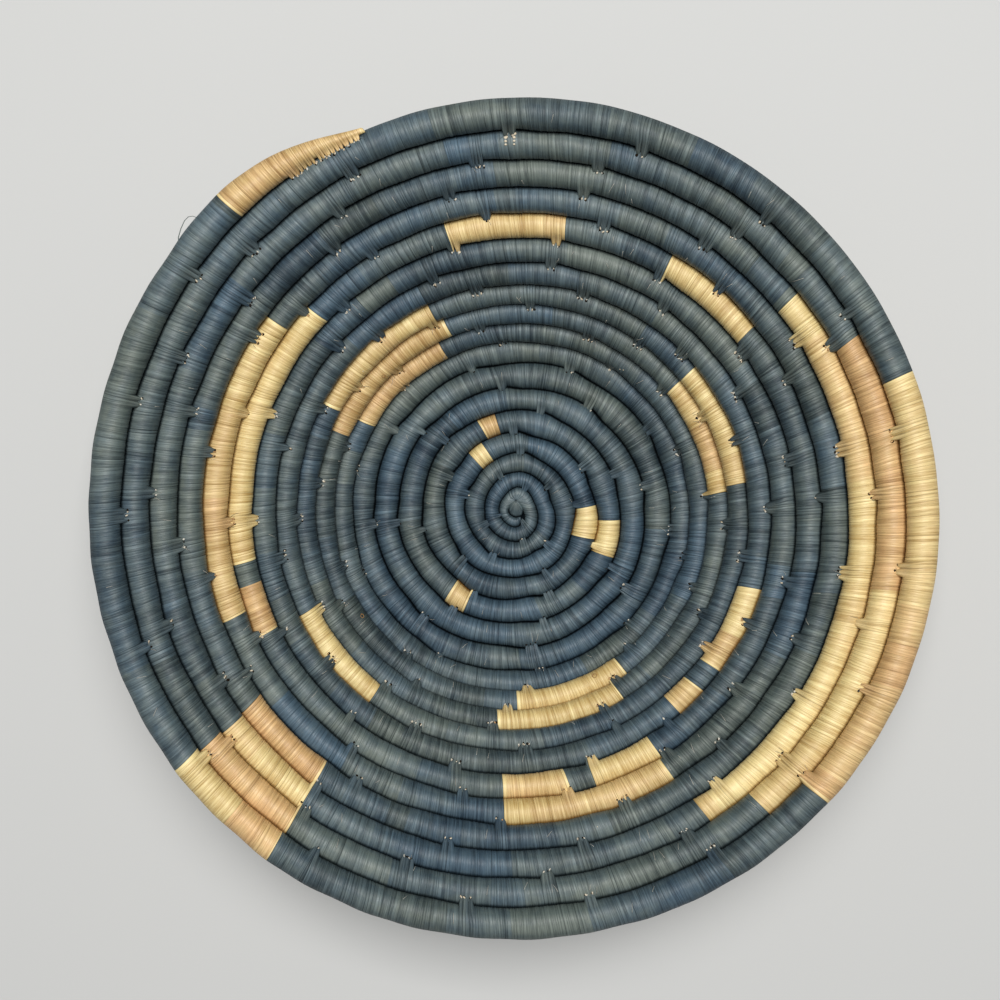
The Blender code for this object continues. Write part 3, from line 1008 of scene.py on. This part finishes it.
grassLook = {
    "deep": (0.20, 0.13, 0.055, 1.0),
    "light": (0.56, 0.43, 0.22, 1.0),
    "deepTinted": (0.15, 0.12, 0.06, 1.0),
    "lightTinted": (0.45, 0.40, 0.24, 1.0),
    "valley": (0.07, 0.045, 0.02, 1.0),
    "valleyShare": 0.3,
    "flank": (0.8, 0.8, 0.8, 1.0),
    "groove": (0.5, 0.5, 0.5, 1.0),
    "dullest": 0.9,
    "smoothest": 0.6,
    "gloss": 0.5,
    "bump": 0.6,
    "bumpHeight": 0.0004,
    "stretch": (0.05, 3.0, 3.0),
}
dyedRaffia = fibreMaterial("dyedRaffia", dyedLook)
wornRaffia = fibreMaterial("wornRaffia", wornLook)
undyedRaffia = fibreMaterial("undyedRaffia", undyedLook)
print("materials made")

# The undyed runs: turn, clock angle at the start and at the end, tint there.
undyedRuns = (
    (3, 232, 245, 0.1, 0.1), (3, 356, 380.5, 0.1, 0.1), (4, 248, 258.5, 0.1, 0.1),
    (5, 5, 26, 0.1, 0.1), (5, 118, 129.5, 0.1, 0.1), (8, 211, 246, 0.75, 0.75),
    (9, 55.5, 89.5, 0.2, 0.2), (9, 204.5, 250, 0.4, 0.4), (9, 321.5, 354.5, 0.35, 0.35),
    (10, 60, 95, 0.1, 0.1), (10, 210, 247.5, 0.25, 0.25), (10, 321, 352.5, 0.2, 0.2),
    (11, 128, 155, 0.1, 0.1), (12, 17.5, 50.5, 0.2, 0.5), (13, 59, 92.5, 0.1, 0.2),
    (13, 154.5, 225.5, 0.8, 0.1), (13, 256.5, 280, 0.1, 0.1), (13, 301.5, 322, 0.1, 0.1),
    (14, 59, 92, 0.1, 0.1), (14, 160, 219, 0.5, 0.1), (15, 127, 144.5, 0.95, 0.95),
    (15, 322, 417.5, 0.1, 0.1), (16, 126.5, 143.5, 0.1, 0.1), (16, 332.5, 409.5, 0.9, 0.1),
    (17, 126, 143.5, 0.85, 0.85), (17, 340, 402.5, 0.1, 0.8), (18, 126, 143.5, 0.75, 0.75),
    (18, 227.52, 248.4, 0.62, 0.60),
)
blueGaps = {14: (12, 37.8, 43.5), 15: (13, 73.4, 78.8), 16: (13, 165.2, 170.0)}
strandJoins = (coil["baseTurns"], 12.65)
blueTints = ([2.0, 5.5, 7.0, 9.5], [0.24, 0.28, 0.46, 0.54])     # by turn

# How much the tone and the tint change: from strand to strand, in slow waves, by turn.
dyedTones = {"step": 0.60, "wave": 0.43, "byTurn": ([14.8, 16.2], [0.0, 0.45]),
             "strand": 0.20, "fade": 0.19, "strip": 0.02, "paleStart": False,
             "paleEnd": False}
undyedTones = {"step": 0.36, "wave": 0.26, "strand": 0.24, "fade": 0.10, "strip": 0.04,
               "byTurn": ([6.0, 8.0, 10.6, 11.5, 15.0, 16.0], [0.7, -0.9, -0.9, 0.0, 0.0, 0.7])}
endTones = {"step": 0.2, "wave": 0.0, "strand": 0.03, "fade": 0.0, "byTurn": ([0.0], [0.0])}
gapTint = 0.54
paleOdds = (0.75, 0.30)      # for a pale strand at the start and at the end of a run
paleSeed = 17
paleRandom = np.random.default_rng(paleSeed)


def isUndyed(turn):
    return any(first <= (turn - run) * 360.0 <= last for run, first, last, _, _ in undyedRuns)


# The runs in order: name, start, end, tones, whether it is dyed, and the node it replaces.
runs = []
place = coil["startTurn"]
blueCount = 0
for number, (turn, first, last, firstTint, lastTint) in enumerate(undyedRuns, 1):
    firstTurn, lastTurn = turn + first / 360.0, turn + last / 360.0
    atEnd = number == len(undyedRuns)
    if atEnd:
        firstTurn, lastTurn = coil["endTurn"] - coil["taperTurns"], coil["endTurn"]
    cuts = [place] + [cut for cut in strandJoins if place < cut < firstTurn] + [firstTurn]
    for start, end in zip(cuts, cuts[1:]):
        blueCount += 1
        tones = {**dyedTones, "first": np.interp(start, *blueTints),
                 "last": np.interp(end, *blueTints)}
        runs.append((f"blueRun_{blueCount:02d}", start, end, tones, True,
                     f"blue_wrap_{blueCount:02d}"))
    cuts = [firstTurn, lastTurn]
    if number in blueGaps:
        gapTurn, gapFirst, gapLast = blueGaps[number]
        cuts[1:1] = [gapTurn + gapFirst / 360.0, gapTurn + gapLast / 360.0]
    for k, (start, end) in enumerate(zip(cuts, cuts[1:])):
        node = f"natural_wrap_{number:02d}"
        if k == 1:
            tones = {**dyedTones, "first": gapTint, "last": gapTint}
            runs.append((f"blueGap_{number:02d}", start, end, tones, True, node))
            continue
        tones = {**undyedTones, "first": firstTint, "last": lastTint,
                 "paleStart": paleRandom.uniform() < paleOdds[0],
                 "paleEnd": paleRandom.uniform() < paleOdds[1], **(endTones if atEnd else {})}
        letter = ""
        if number in blueGaps:
            letter = "abc"[k]
            tones["first"] = tones["last"] = lastTint if k else firstTint
        runs.append((f"naturalRun_{number:02d}{letter}", start, end, tones, False, node))
    place = lastTurn
for order, (name, start, end, tones, dyed, node) in enumerate(runs, 1):
    material, slot = (dyedRaffia, "dyed_raffia") if dyed else (undyedRaffia, "undyed_raffia")
    addWrap(name, start, end, tones, material, node, order)
print("wraps laid:", len(runs))

# The end that the coil starts from, in the first turn's bend: strips that run down from the
# same point to a groove at the sides and the bottom.
knob = {
    "outline": (             # direction from the point in degrees, how far the end reaches
        (-180, 0.0014), (-160, 0.0026), (-134, 0.0041), (-113, 0.0062), (-90, 0.0068),
        (-68, 0.0066), (-40, 0.0036), (-20, 0.0024), (0, 0.0014), (90, 0.0010), (180, 0.0014)),
    "foot": 0.45,            # how much wider it is at the hidden bottom
    "footEase": 0.5,
    "topHeight": 0.0044,
    "footHeight": 0.0004,
    "lowerStart": 0.0006,    # how much lower the fan lies at the bottom end
    "lowerBack": 0.0006,     # and where the first turn covers it
    "backEase": (-0.3, 0.5),
    "edgePower": 0.50,
    "stripCount": 25,
    "rings": 22,
    "valleyDepth": 0.00016,
    "valleyDepths": (0.5, 0.1, 1.6),
    "spotSize": 0.0005,
    "spotDepth": 0.0003,
    "spotShade": 0.5,
    "edgeShade": 1.5,
    "leastUpward": 0.5,
    "tones": (0.5, 0.14),
    "tint": 0.5,
    "grainLength": 0.026,
    "seed": 3,
}


def addKnob():
    random = np.random.default_rng(knob["seed"])
    bpy.ops.object.select_all(action="DESELECT")
    stations = knob["stripCount"] * 3
    bpy.ops.mesh.primitive_uv_sphere_add(segments=stations, ring_count=knob["rings"], radius=1.0)
    bpy.ops.object.shade_smooth()
    piece = bpy.context.object
    piece.name = "startKnob"
    points = pointsOf(piece.data)
    direction = np.arctan2(points[:, 1], points[:, 0])
    turned = direction / (2.0 * math.pi) % 1.0
    station = np.round(turned * stations).astype(int) % stations
    owner = station // 3
    mean, least, most = knob["valleyDepths"]
    depth = np.clip(random.exponential(mean, knob["stripCount"]), least, most)[owner]
    atValley = station % 3 == 0
    out, up = np.hypot(points[:, 0], points[:, 1]), points[:, 2]
    reach = np.interp(np.degrees(direction), *np.array(knob["outline"]).T)
    distance = reach * out * (1.0 + knob["foot"] * ease(-up, 0.0, knob["footEase"]))
    spot = np.exp(-(distance / knob["spotSize"]) ** 2)
    down = np.clip(-np.sin(direction), 0.0, 1.0) * out
    lowered = knob["lowerStart"] * down + knob["valleyDepth"] * depth * atValley
    lowered = lowered + knob["spotDepth"] * spot
    lowered = lowered + knob["lowerBack"] * ease(np.sin(direction), *knob["backEase"])
    share = np.sign(up) * np.abs(up) ** knob["edgePower"]
    top, bottom = knob["topHeight"], knob["footHeight"]
    z = (top + bottom) / 2.0 + share * (top - bottom) / 2.0 - lowered * (up > 0.0)
    points = placeFromAxis(centre["pole"][0] + distance * np.cos(direction),
                           centre["pole"][1] + distance * np.sin(direction), z)
    piece.data.vertices.foreach_set("co", points.ravel())
    tone = np.clip(random.normal(*knob["tones"], knob["stripCount"]), 0.0, 1.0)[owner]
    chance = random.uniform(0.0, 1.0, knob["stripCount"])[owner]
    # painted shade in the lines between the strips and in the spot where they meet
    ridge = 1.0 - np.maximum(atValley * np.minimum(depth, 1.0), knob["spotShade"] * spot)
    strand = np.stack([tone, np.full(len(tone), knob["tint"]), chance, ridge], axis=-1)
    # painted shade, darker towards the knob's lower edge
    closeness = np.clip(up, 0.0, 1.0) ** knob["edgeShade"]
    upward = np.maximum(closeness, knob["leastUpward"])
    paintedShade = np.stack([upward, closeness, np.zeros_like(up)], axis=-1)
    finishPiece(piece, np.stack([turned * knob["grainLength"], distance, z], axis=-1), strand,
                dyedRaffia, "blue_wrap_01", paintedShade)


addKnob()

# The grass bundle inside the wraps, with its stalks twisted a little.
grass = {
    "stalks": 7,
    "stalkHeight": 0.07,
    "wrapWall": 0.0013,
    "firstTurn": 0.55,
    "lastTurn": 18.645,
    "stationSpacing": 0.004,
    "twistLength": 0.16,
    "leastTaper": 0.05,
    "strand": (0.5, 0.5, 0.4, 1.0),
    "paintedShade": (1.0, 1.0, 0.0),
}


def addGrass():
    wall = grass["wrapWall"]
    firstArc, lastArc = arcAt(grass["firstTurn"]), arcAt(grass["lastTurn"])
    arcs = np.linspace(firstArc, lastArc, int((lastArc - firstArc) / grass["stationSpacing"]))
    turn = turnAt(arcs)
    count = grass["stalks"] * 2
    sides = np.arange(count)
    lobes = 1.0 - grass["stalkHeight"] * (sides % 2)
    angles = 2.0 * math.pi * (sides / count + (arcs / grass["twistLength"])[:, None])
    cosine, sine = np.cos(angles), np.sin(angles)
    inward, outward, up = (size[:, None] for size in halfSizes(turn))
    keep = np.maximum(taperAt(turn), grass["leastTaper"])[:, None]
    out = (np.where(cosine > 0.0, outward, inward) - wall) * cosine * lobes * keep
    out = out - (1.0 - keep) * inward
    rise = (up - wall) * sine * lobes * keep
    radius, height = planePoint(turn[:, None], out, rise)
    points = placeAround(turn[:, None], radius, np.maximum(height, wall))
    faces = ringFaces(0, len(arcs), count).tolist()
    faces += [sides[::-1].tolist(), ((len(arcs) - 1) * count + sides).tolist()]
    places = np.stack(np.broadcast_arrays(arcs[:, None], out, rise), axis=-1)
    finishPiece(newPiece("grassBundle", points, faces), places, grass["strand"],
                fibreMaterial("grassBundle", grassLook), "grass_core",
                grass["paintedShade"])


addGrass()

# What shows at the stitches: needle holes, as beads of painted shade, and pale fibre ends in them.
trace = {
    "holeSizes": (0.00040, 0.00064),
    "holeDepth": 0.00016,
    "holeStretch": (0.8, 1.5),
    "holeGrain": 2500.0,
    "holeColours": ((0.004, 0.004, 0.004, 1.0), (0.030, 0.020, 0.012, 1.0)),
    "bitSizes": (0.00024, 0.00042),
    "bitLengths": (0.00036, 0.00075),
    "bitSwing": 0.9,
    "bitRise": (-0.3, 0.5),
    "bitTones": (0.45, 1.0),
    "bitTints": (0.0, 0.9),
    "bitOff": 0.00018,       # off the surface, and the same on undyed raffia
    "tanOff": 0.00010,
    "tanDarker": 0.45,
    "beyond": (-0.00015, 0.00045),         # past the tip of the stitch
    "beside": 0.0005,
    "follow": 0.77,          # how far they follow the lean of the strips
    "firstTurn": 1.3,
    "lateTurns": (6.0, 4.0),               # they grow more common from here, over this many
    "holeOdds": (0.45, 0.5),
    "bitOdds": (0.2, 0.8),
    "bitTries": (0.85, 0.45),
    "grainScale": 3.0,
    "plainStrand": (0.5, 0.5, 0.5, 1.0),
    "seed": 41,
}


# A place on a turn's surface with the directions along it, across it and off it.
def surfaceFrame(turn, arc, degrees):
    radius, height = sectionPlace(turn, degrees)
    angle = math.radians(degrees) + float(slopeAt(turn))
    around = -2.0 * math.pi * float(turnAt(arc))
    outX, outY = math.cos(around), math.sin(around)
    normal = np.array([math.cos(angle) * outX, math.cos(angle) * outY, math.sin(angle)])
    alongWay = np.array([outY, -outX, 0.0])
    place = np.array([radius * outX - middleX, radius * outY - middleY, height], dtype=float)
    return place, alongWay, np.cross(normal, alongWay), normal


# One piece of many small rounded beads. Each shape is a place, three axes and a strand.
def gatherBeads(name, shapes, material):
    bpy.ops.object.select_all(action="DESELECT")
    bpy.ops.mesh.primitive_ico_sphere_add(subdivisions=1, radius=1.0)
    bead = bpy.context.object
    points = pointsOf(bead.data)
    faces = np.array([list(face.vertices) for face in bead.data.polygons])
    bpy.data.objects.remove(bead)
    allPoints = np.concatenate([place + points @ axes for place, axes, _ in shapes])
    allFaces = faces + np.arange(len(shapes))[:, None, None] * len(points)
    strand = np.repeat([strand for _, _, strand in shapes], len(points), axis=0)
    finishPiece(newPiece(name, allPoints, allFaces.reshape(-1, 3).tolist()),
                allPoints * trace["grainScale"], strand, material)


# near-black painted shade for the inside of the needle holes
def makeHoleShade():
    material, tree, shader = newMaterial("needleHoleShade", 0.0, 1.0)
    place = tree.nodes.new("ShaderNodeTexCoord").outputs["Object"]
    speckle = noise(tree, place, trace["holeGrain"], 2.0)
    feed(tree, shader["Base Color"], mixColour(tree, speckle, *trace["holeColours"]))
    return material


def addTraces():
    random = np.random.default_rng(trace["seed"])
    holes, bits, tanBits = [], [], []
    for tipArc, _, _, reach, _ in tips:
        turn = turnAt(tipArc)
        if turn < trace["firstTurn"]:
            continue
        inner = turn - 1.0
        late = ease(turn, *trace["lateTurns"])
        seen = trace["holeOdds"][0] + trace["holeOdds"][1] * late
        often = seen * (trace["bitOdds"][0] + trace["bitOdds"][1] * late)
        lean = trace["follow"] * strips["lean"] * halfSizes(inner)[1]
        tries = [("hole", seen)] + [("bit", often * share) for share in trace["bitTries"]]
        for kind, odds in tries:
            if random.uniform() > odds:
                continue
            degrees = float(biteDegrees(inner, reach + random.uniform(*trace["beyond"])))
            arc = tipArc + lean + random.uniform(-trace["beside"], trace["beside"])
            place, alongWay, acrossWay, normal = surfaceFrame(inner, arc, degrees)
            if kind == "hole":
                size = random.uniform(*trace["holeSizes"])
                stretch = random.uniform(*trace["holeStretch"])
                axes = np.stack([alongWay * size, acrossWay * size * stretch,
                                 normal * trace["holeDepth"]])
                holes.append((place, axes, trace["plainStrand"]))
                continue
            size = random.uniform(*trace["bitSizes"])
            length = random.uniform(*trace["bitLengths"])
            swing = random.uniform(-trace["bitSwing"], trace["bitSwing"])
            longWay = acrossWay * math.cos(swing) + alongWay * math.sin(swing)
            sideWay = alongWay * math.cos(swing) - acrossWay * math.sin(swing)
            longWay = longWay + normal * random.uniform(*trace["bitRise"])
            axes = np.stack([sideWay * size, longWay * length, normal * size])
            tone = random.uniform(*trace["bitTones"])
            tint, chance = random.uniform(*trace["bitTints"]), random.uniform()
            if isUndyed(inner):
                tanBits.append((place + normal * trace["tanOff"], axes,
                                (tone - trace["tanDarker"], 1.0, chance, 1.0)))
            else:
                bits.append((place + normal * trace["bitOff"], axes, (tone, tint, chance, 1.0)))
    gatherBeads("needleHoles", holes, makeHoleShade())
    gatherBeads("fibreBits", bits, wornRaffia)
    gatherBeads("tanFibreBits", tanBits, undyedRaffia)
    print("needle holes:", len(holes), "fibre bits:", len(bits) + len(tanBits))


addTraces()

# Loose fibres: short ones at the stitches, a few that stand out, and small curls. Each is a
# line of places on the coil: turn, angle round the section, height off the surface.
fibre = {
    "thickness": 0.00007,
    "curlThickness": 0.00019,
    "firstTurn": 2.5,
    "perTip": 0.9,
    "paleShare": 0.22,
    "beside": 0.0009,        # from the tip
    "swing": 0.0011,
    "bend": 0.35,
    "before": 8.0,           # degrees before the tip
    "off": 0.00006,
    "lengths": (12.0, 38.0),               # in degrees round the section
    "lifts": (0.0001, 0.0007),
    "liftPower": 1.5,
    "thinned": 0.5,          # how much thinner towards its end
    "mergeDistance": 0.000001,
    "strayCount": 210,       # single hairs anywhere along the coil
    "strayThickness": 0.00009,
    "strayTurns": (2.0, 18.55),
    "strayStarts": (45.0, 110.0),
    "strayLengths": (18.0, 50.0),
    "straySwing": 0.0009,
    "strayOff": (0.00007, 0.00010),
    "steps": 5,
    "curlTurns": 1.15,
    "curlShrink": 0.25,
    "curlOff": (0.00026, 0.00006),
    "curlSteps": 14,
    "tones": {               # tone and tint
        "looseFibresDyed": (0.85, 0.6),
        "rimLoop": (0.9, 0.9),
        "looseFibresPale": (0.5, 0.3),
        "strayHairs": (0.5, -0.6),
        "fibreCurls": (0.0, 1.0),
    },
    "plainChance": 0.5,
    "seed": 77,
}
rimLoop = ((18.6090, -12, -0.0003), (18.6105, -10, 0.0010), (18.6135, -10, 0.0020),
           (18.6165, -10, 0.0027), (18.6185, -9, 0.0026), (18.6198, -8, 0.0016),
           (18.6206, -8, -0.0003))
curls = (                    # turn, clock angle, angle round the section, size
    (9, 64.0, 84.0, 0.00105), (9, 226.0, 80.0, 0.00080), (9, 146.0, 86.0, 0.00090),
)
# Pale beads: two rows where one stitch pulled the fibre through, and a few specks.
ladder = {
    "turn": 16,
    "angles": (268.6, 269.9),
    "steps": ((30.0, 0.00100), (45.0, 0.00072), (58.0, 0.00062), (70.0, 0.00054)),
    "specks": ((8, 306.0, 88.0), (8, 307.0, 80.0), (10, 223.0, 85.0), (15, 75.0, 70.0)),
    "speckSize": 0.00026,
    "sizeSpread": (0.9, 1.1),
    "shape": (1.0, 0.8, 0.6),
    "off": 0.0001,
    "strand": (1.0, 0.75, 0.5, 1.0),
}


def aroundAt(turn):
    return radiusAt(turn) * 2.0 * math.pi


def fibrePlace(turn, degrees, off):
    place, _, _, normal = surfaceFrame(turn, arcAt(turn), degrees)
    return place + normal * off


def layFibres(name, lines, thickness, material):
    bpy.ops.object.select_all(action="DESELECT")
    curve = bpy.data.curves.new(name, "CURVE")
    curve.dimensions = "3D"
    curve.bevel_depth = thickness
    curve.bevel_resolution = 0
    curve.use_fill_caps = True
    for line in lines:
        spline = curve.splines.new("POLY")
        spline.points.add(len(line) - 1)
        for k, place in enumerate(line):
            spline.points[k].co = (*place, 1.0)
            spline.points[k].radius = 1.0 - fibre["thinned"] * k / (len(line) - 1)
    piece = bpy.data.objects.new(name, curve)
    bpy.context.scene.collection.objects.link(piece)
    bpy.context.view_layer.objects.active = piece
    piece.select_set(True)
    bpy.ops.object.convert(target="MESH")
    piece = bpy.context.object
    bpy.ops.object.mode_set(mode="EDIT")
    bpy.ops.mesh.select_all(action="SELECT")
    bpy.ops.mesh.remove_doubles(threshold=fibre["mergeDistance"])
    bpy.ops.object.mode_set(mode="OBJECT")
    finishPiece(piece, pointsOf(piece.data) * trace["grainScale"],
                (*fibre["tones"][name], fibre["plainChance"], 1.0), material)


def addFibres():
    random = np.random.default_rng(fibre["seed"])
    steps = [k / fibre["steps"] for k in range(fibre["steps"] + 1)]
    dyedLines, paleLines, strayLines, brownLines = [], [], [], []
    for tipArc, _, _, reach, _ in tips:
        if turnAt(tipArc) < fibre["firstTurn"]:
            continue
        inner = turnAt(tipArc) - 1.0
        first = biteDegrees(inner, reach) - fibre["before"]
        for _ in range(random.poisson(fibre["perTip"])):
            start = turnAt(tipArc + random.normal(0.0, fibre["beside"])) - 1.0
            swing = random.normal(0.0, fibre["swing"]) / aroundAt(inner)
            length, lift = random.uniform(*fibre["lengths"]), random.uniform(*fibre["lifts"])
            bend = random.normal(0.0, fibre["bend"])
            line = [fibrePlace(start + swing * (share + bend * share * (1.0 - share)),
                               first + length * share,
                               fibre["off"] + lift * share ** fibre["liftPower"])
                    for share in steps]
            (paleLines if random.uniform() < fibre["paleShare"] else dyedLines).append(line)
    strayFirst, strayLast = arcAt(fibre["strayTurns"])
    for _ in range(fibre["strayCount"]):
        start = turnAt(random.uniform(strayFirst, strayLast))
        swing = random.normal(0.0, fibre["straySwing"]) / aroundAt(start)
        first = random.uniform(*fibre["strayStarts"])
        length = random.uniform(*fibre["strayLengths"])
        low, high = fibre["strayOff"]
        if not isUndyed(start):
            strayLines.append([fibrePlace(start + swing * share, first + length * share,
                                          low + high * math.sin(math.pi * share))
                               for share in steps])
    for turn, angle, degrees, size in curls:
        middle = turn + angle / 360.0
        half = halfSizes(middle)[1]
        low, high = fibre["curlOff"]
        line = []
        for k in range(fibre["curlSteps"] + 1):
            share = k / fibre["curlSteps"]
            turned = share * 2.0 * math.pi * fibre["curlTurns"]
            wide = size * (1.0 - fibre["curlShrink"] * share)
            line.append(fibrePlace(middle + wide * math.cos(turned) / aroundAt(middle),
                                   degrees + math.degrees(wide * math.sin(turned) / half),
                                   low + high * math.sin(turned * 2.0)))
        brownLines.append(line)
    loopLines = [[fibrePlace(*spot) for spot in rimLoop]]
    thin, thick, hair = (fibre[size] for size in ("thickness", "curlThickness", "strayThickness"))
    layFibres("looseFibresDyed", dyedLines, thin, dyedRaffia)
    layFibres("rimLoop", loopLines, thick, dyedRaffia)
    layFibres("looseFibresPale", paleLines, thin, wornRaffia)
    layFibres("strayHairs", strayLines, hair, wornRaffia)
    layFibres("fibreCurls", brownLines, thick, undyedRaffia)
    print("loose fibres:", len(dyedLines + paleLines + strayLines + brownLines))


def addBeads():
    random = np.random.default_rng(fibre["seed"] + 1)
    spots = [(ladder["turn"] + angle / 360.0, degrees, size) for angle in ladder["angles"]
             for degrees, size in ladder["steps"]]
    spots += [(turn + angle / 360.0, degrees, ladder["speckSize"])
              for turn, angle, degrees in ladder["specks"]]
    beads = []
    for turn, degrees, size in spots:
        place, alongWay, acrossWay, normal = surfaceFrame(turn, arcAt(turn), degrees)
        size = size * random.uniform(*ladder["sizeSpread"])
        axes = np.stack([alongWay, acrossWay, normal]) * np.array(ladder["shape"])[:, None] * size
        beads.append((place + normal * ladder["off"], axes, ladder["strand"]))
    gatherBeads("paleBeads", beads, wornRaffia)


addFibres()
addBeads()

# Floor, light and camera.
studio = {
    "floorSize": 6.0,
    "floorColour": (0.600, 0.607, 0.604, 1.0),
    "skyColour": (0.97, 0.985, 1.0, 1.0),
    "skyStrength": 0.20,
    "lampSize": 0.8,
    "lampPlace": (0.05, 0.35, 1.5),
    "lampPower": 25.0,
    "lampColour": (1.0, 0.985, 0.96),
    "cameraHeight": 0.560,
    "cameraTilt": (0.053668, -0.037635),
    "bowlOffset": (0.016814, 0.015591),    # of the spiral's axis from the lens axis
    "focalPixels": 1350.15,
    "centrePixels": (475.19, 549.25),
    "imagePixels": 1000.0,
    "sensorWidth": 36.0,
}

bpy.ops.object.select_all(action="DESELECT")
bpy.ops.mesh.primitive_plane_add(size=studio["floorSize"], location=(0.0, 0.0, 0.0))
floor = bpy.context.object
floor.name = "floor"
floorMaterial, _, floorShader = newMaterial("floorPaper", 0.2, 0.9)
floorShader["Base Color"].default_value = studio["floorColour"]
floor.data.materials.append(floorMaterial)

world = bpy.data.worlds.new("studioSky")
bpy.context.scene.world = world
world.use_nodes = True
sky = world.node_tree.nodes["Background"].inputs
sky["Color"].default_value = studio["skyColour"]
sky["Strength"].default_value = studio["skyStrength"]

lampData = bpy.data.lights.new("overheadLamp", "AREA")
lampData.shape = "SQUARE"
lampData.size = studio["lampSize"]
lampData.energy = studio["lampPower"]
lampData.color = studio["lampColour"]
lamp = bpy.data.objects.new("overheadLamp", lampData)
bpy.context.scene.collection.objects.link(lamp)
lamp.location = studio["lampPlace"]
lamp.rotation_euler = (-lamp.location).to_track_quat("-Z", "Y").to_euler()

# The camera stands nearly over the coil's axis, turned the way the photograph was taken.
tiltX, tiltY = studio["cameraTilt"]
cameraTurn = (Matrix.Rotation(tiltX, 3, "X") @ Matrix.Rotation(tiltY, 3, "Y")).transposed()
offsetX, offsetY = studio["bowlOffset"]
cameraPlace = cameraTurn @ Vector((-offsetX, -offsetY, studio["cameraHeight"]))
cameraPlace = cameraPlace - Vector((middleX, middleY, 0.0))
pixels = studio["imagePixels"]
cameraData = bpy.data.cameras.new("camera")
cameraData.sensor_width = studio["sensorWidth"]
cameraData.lens = studio["focalPixels"] / pixels * studio["sensorWidth"]
cameraData.shift_x = -(studio["centrePixels"][0] - pixels / 2.0) / pixels
cameraData.shift_y = (studio["centrePixels"][1] - pixels / 2.0) / pixels
camera = bpy.data.objects.new("camera", cameraData)
bpy.context.scene.collection.objects.link(camera)
camera.matrix_world = Matrix.Translation(cameraPlace) @ cameraTurn.to_4x4()
bpy.context.scene.camera = camera
bpy.context.scene.view_settings.view_transform = "Standard"
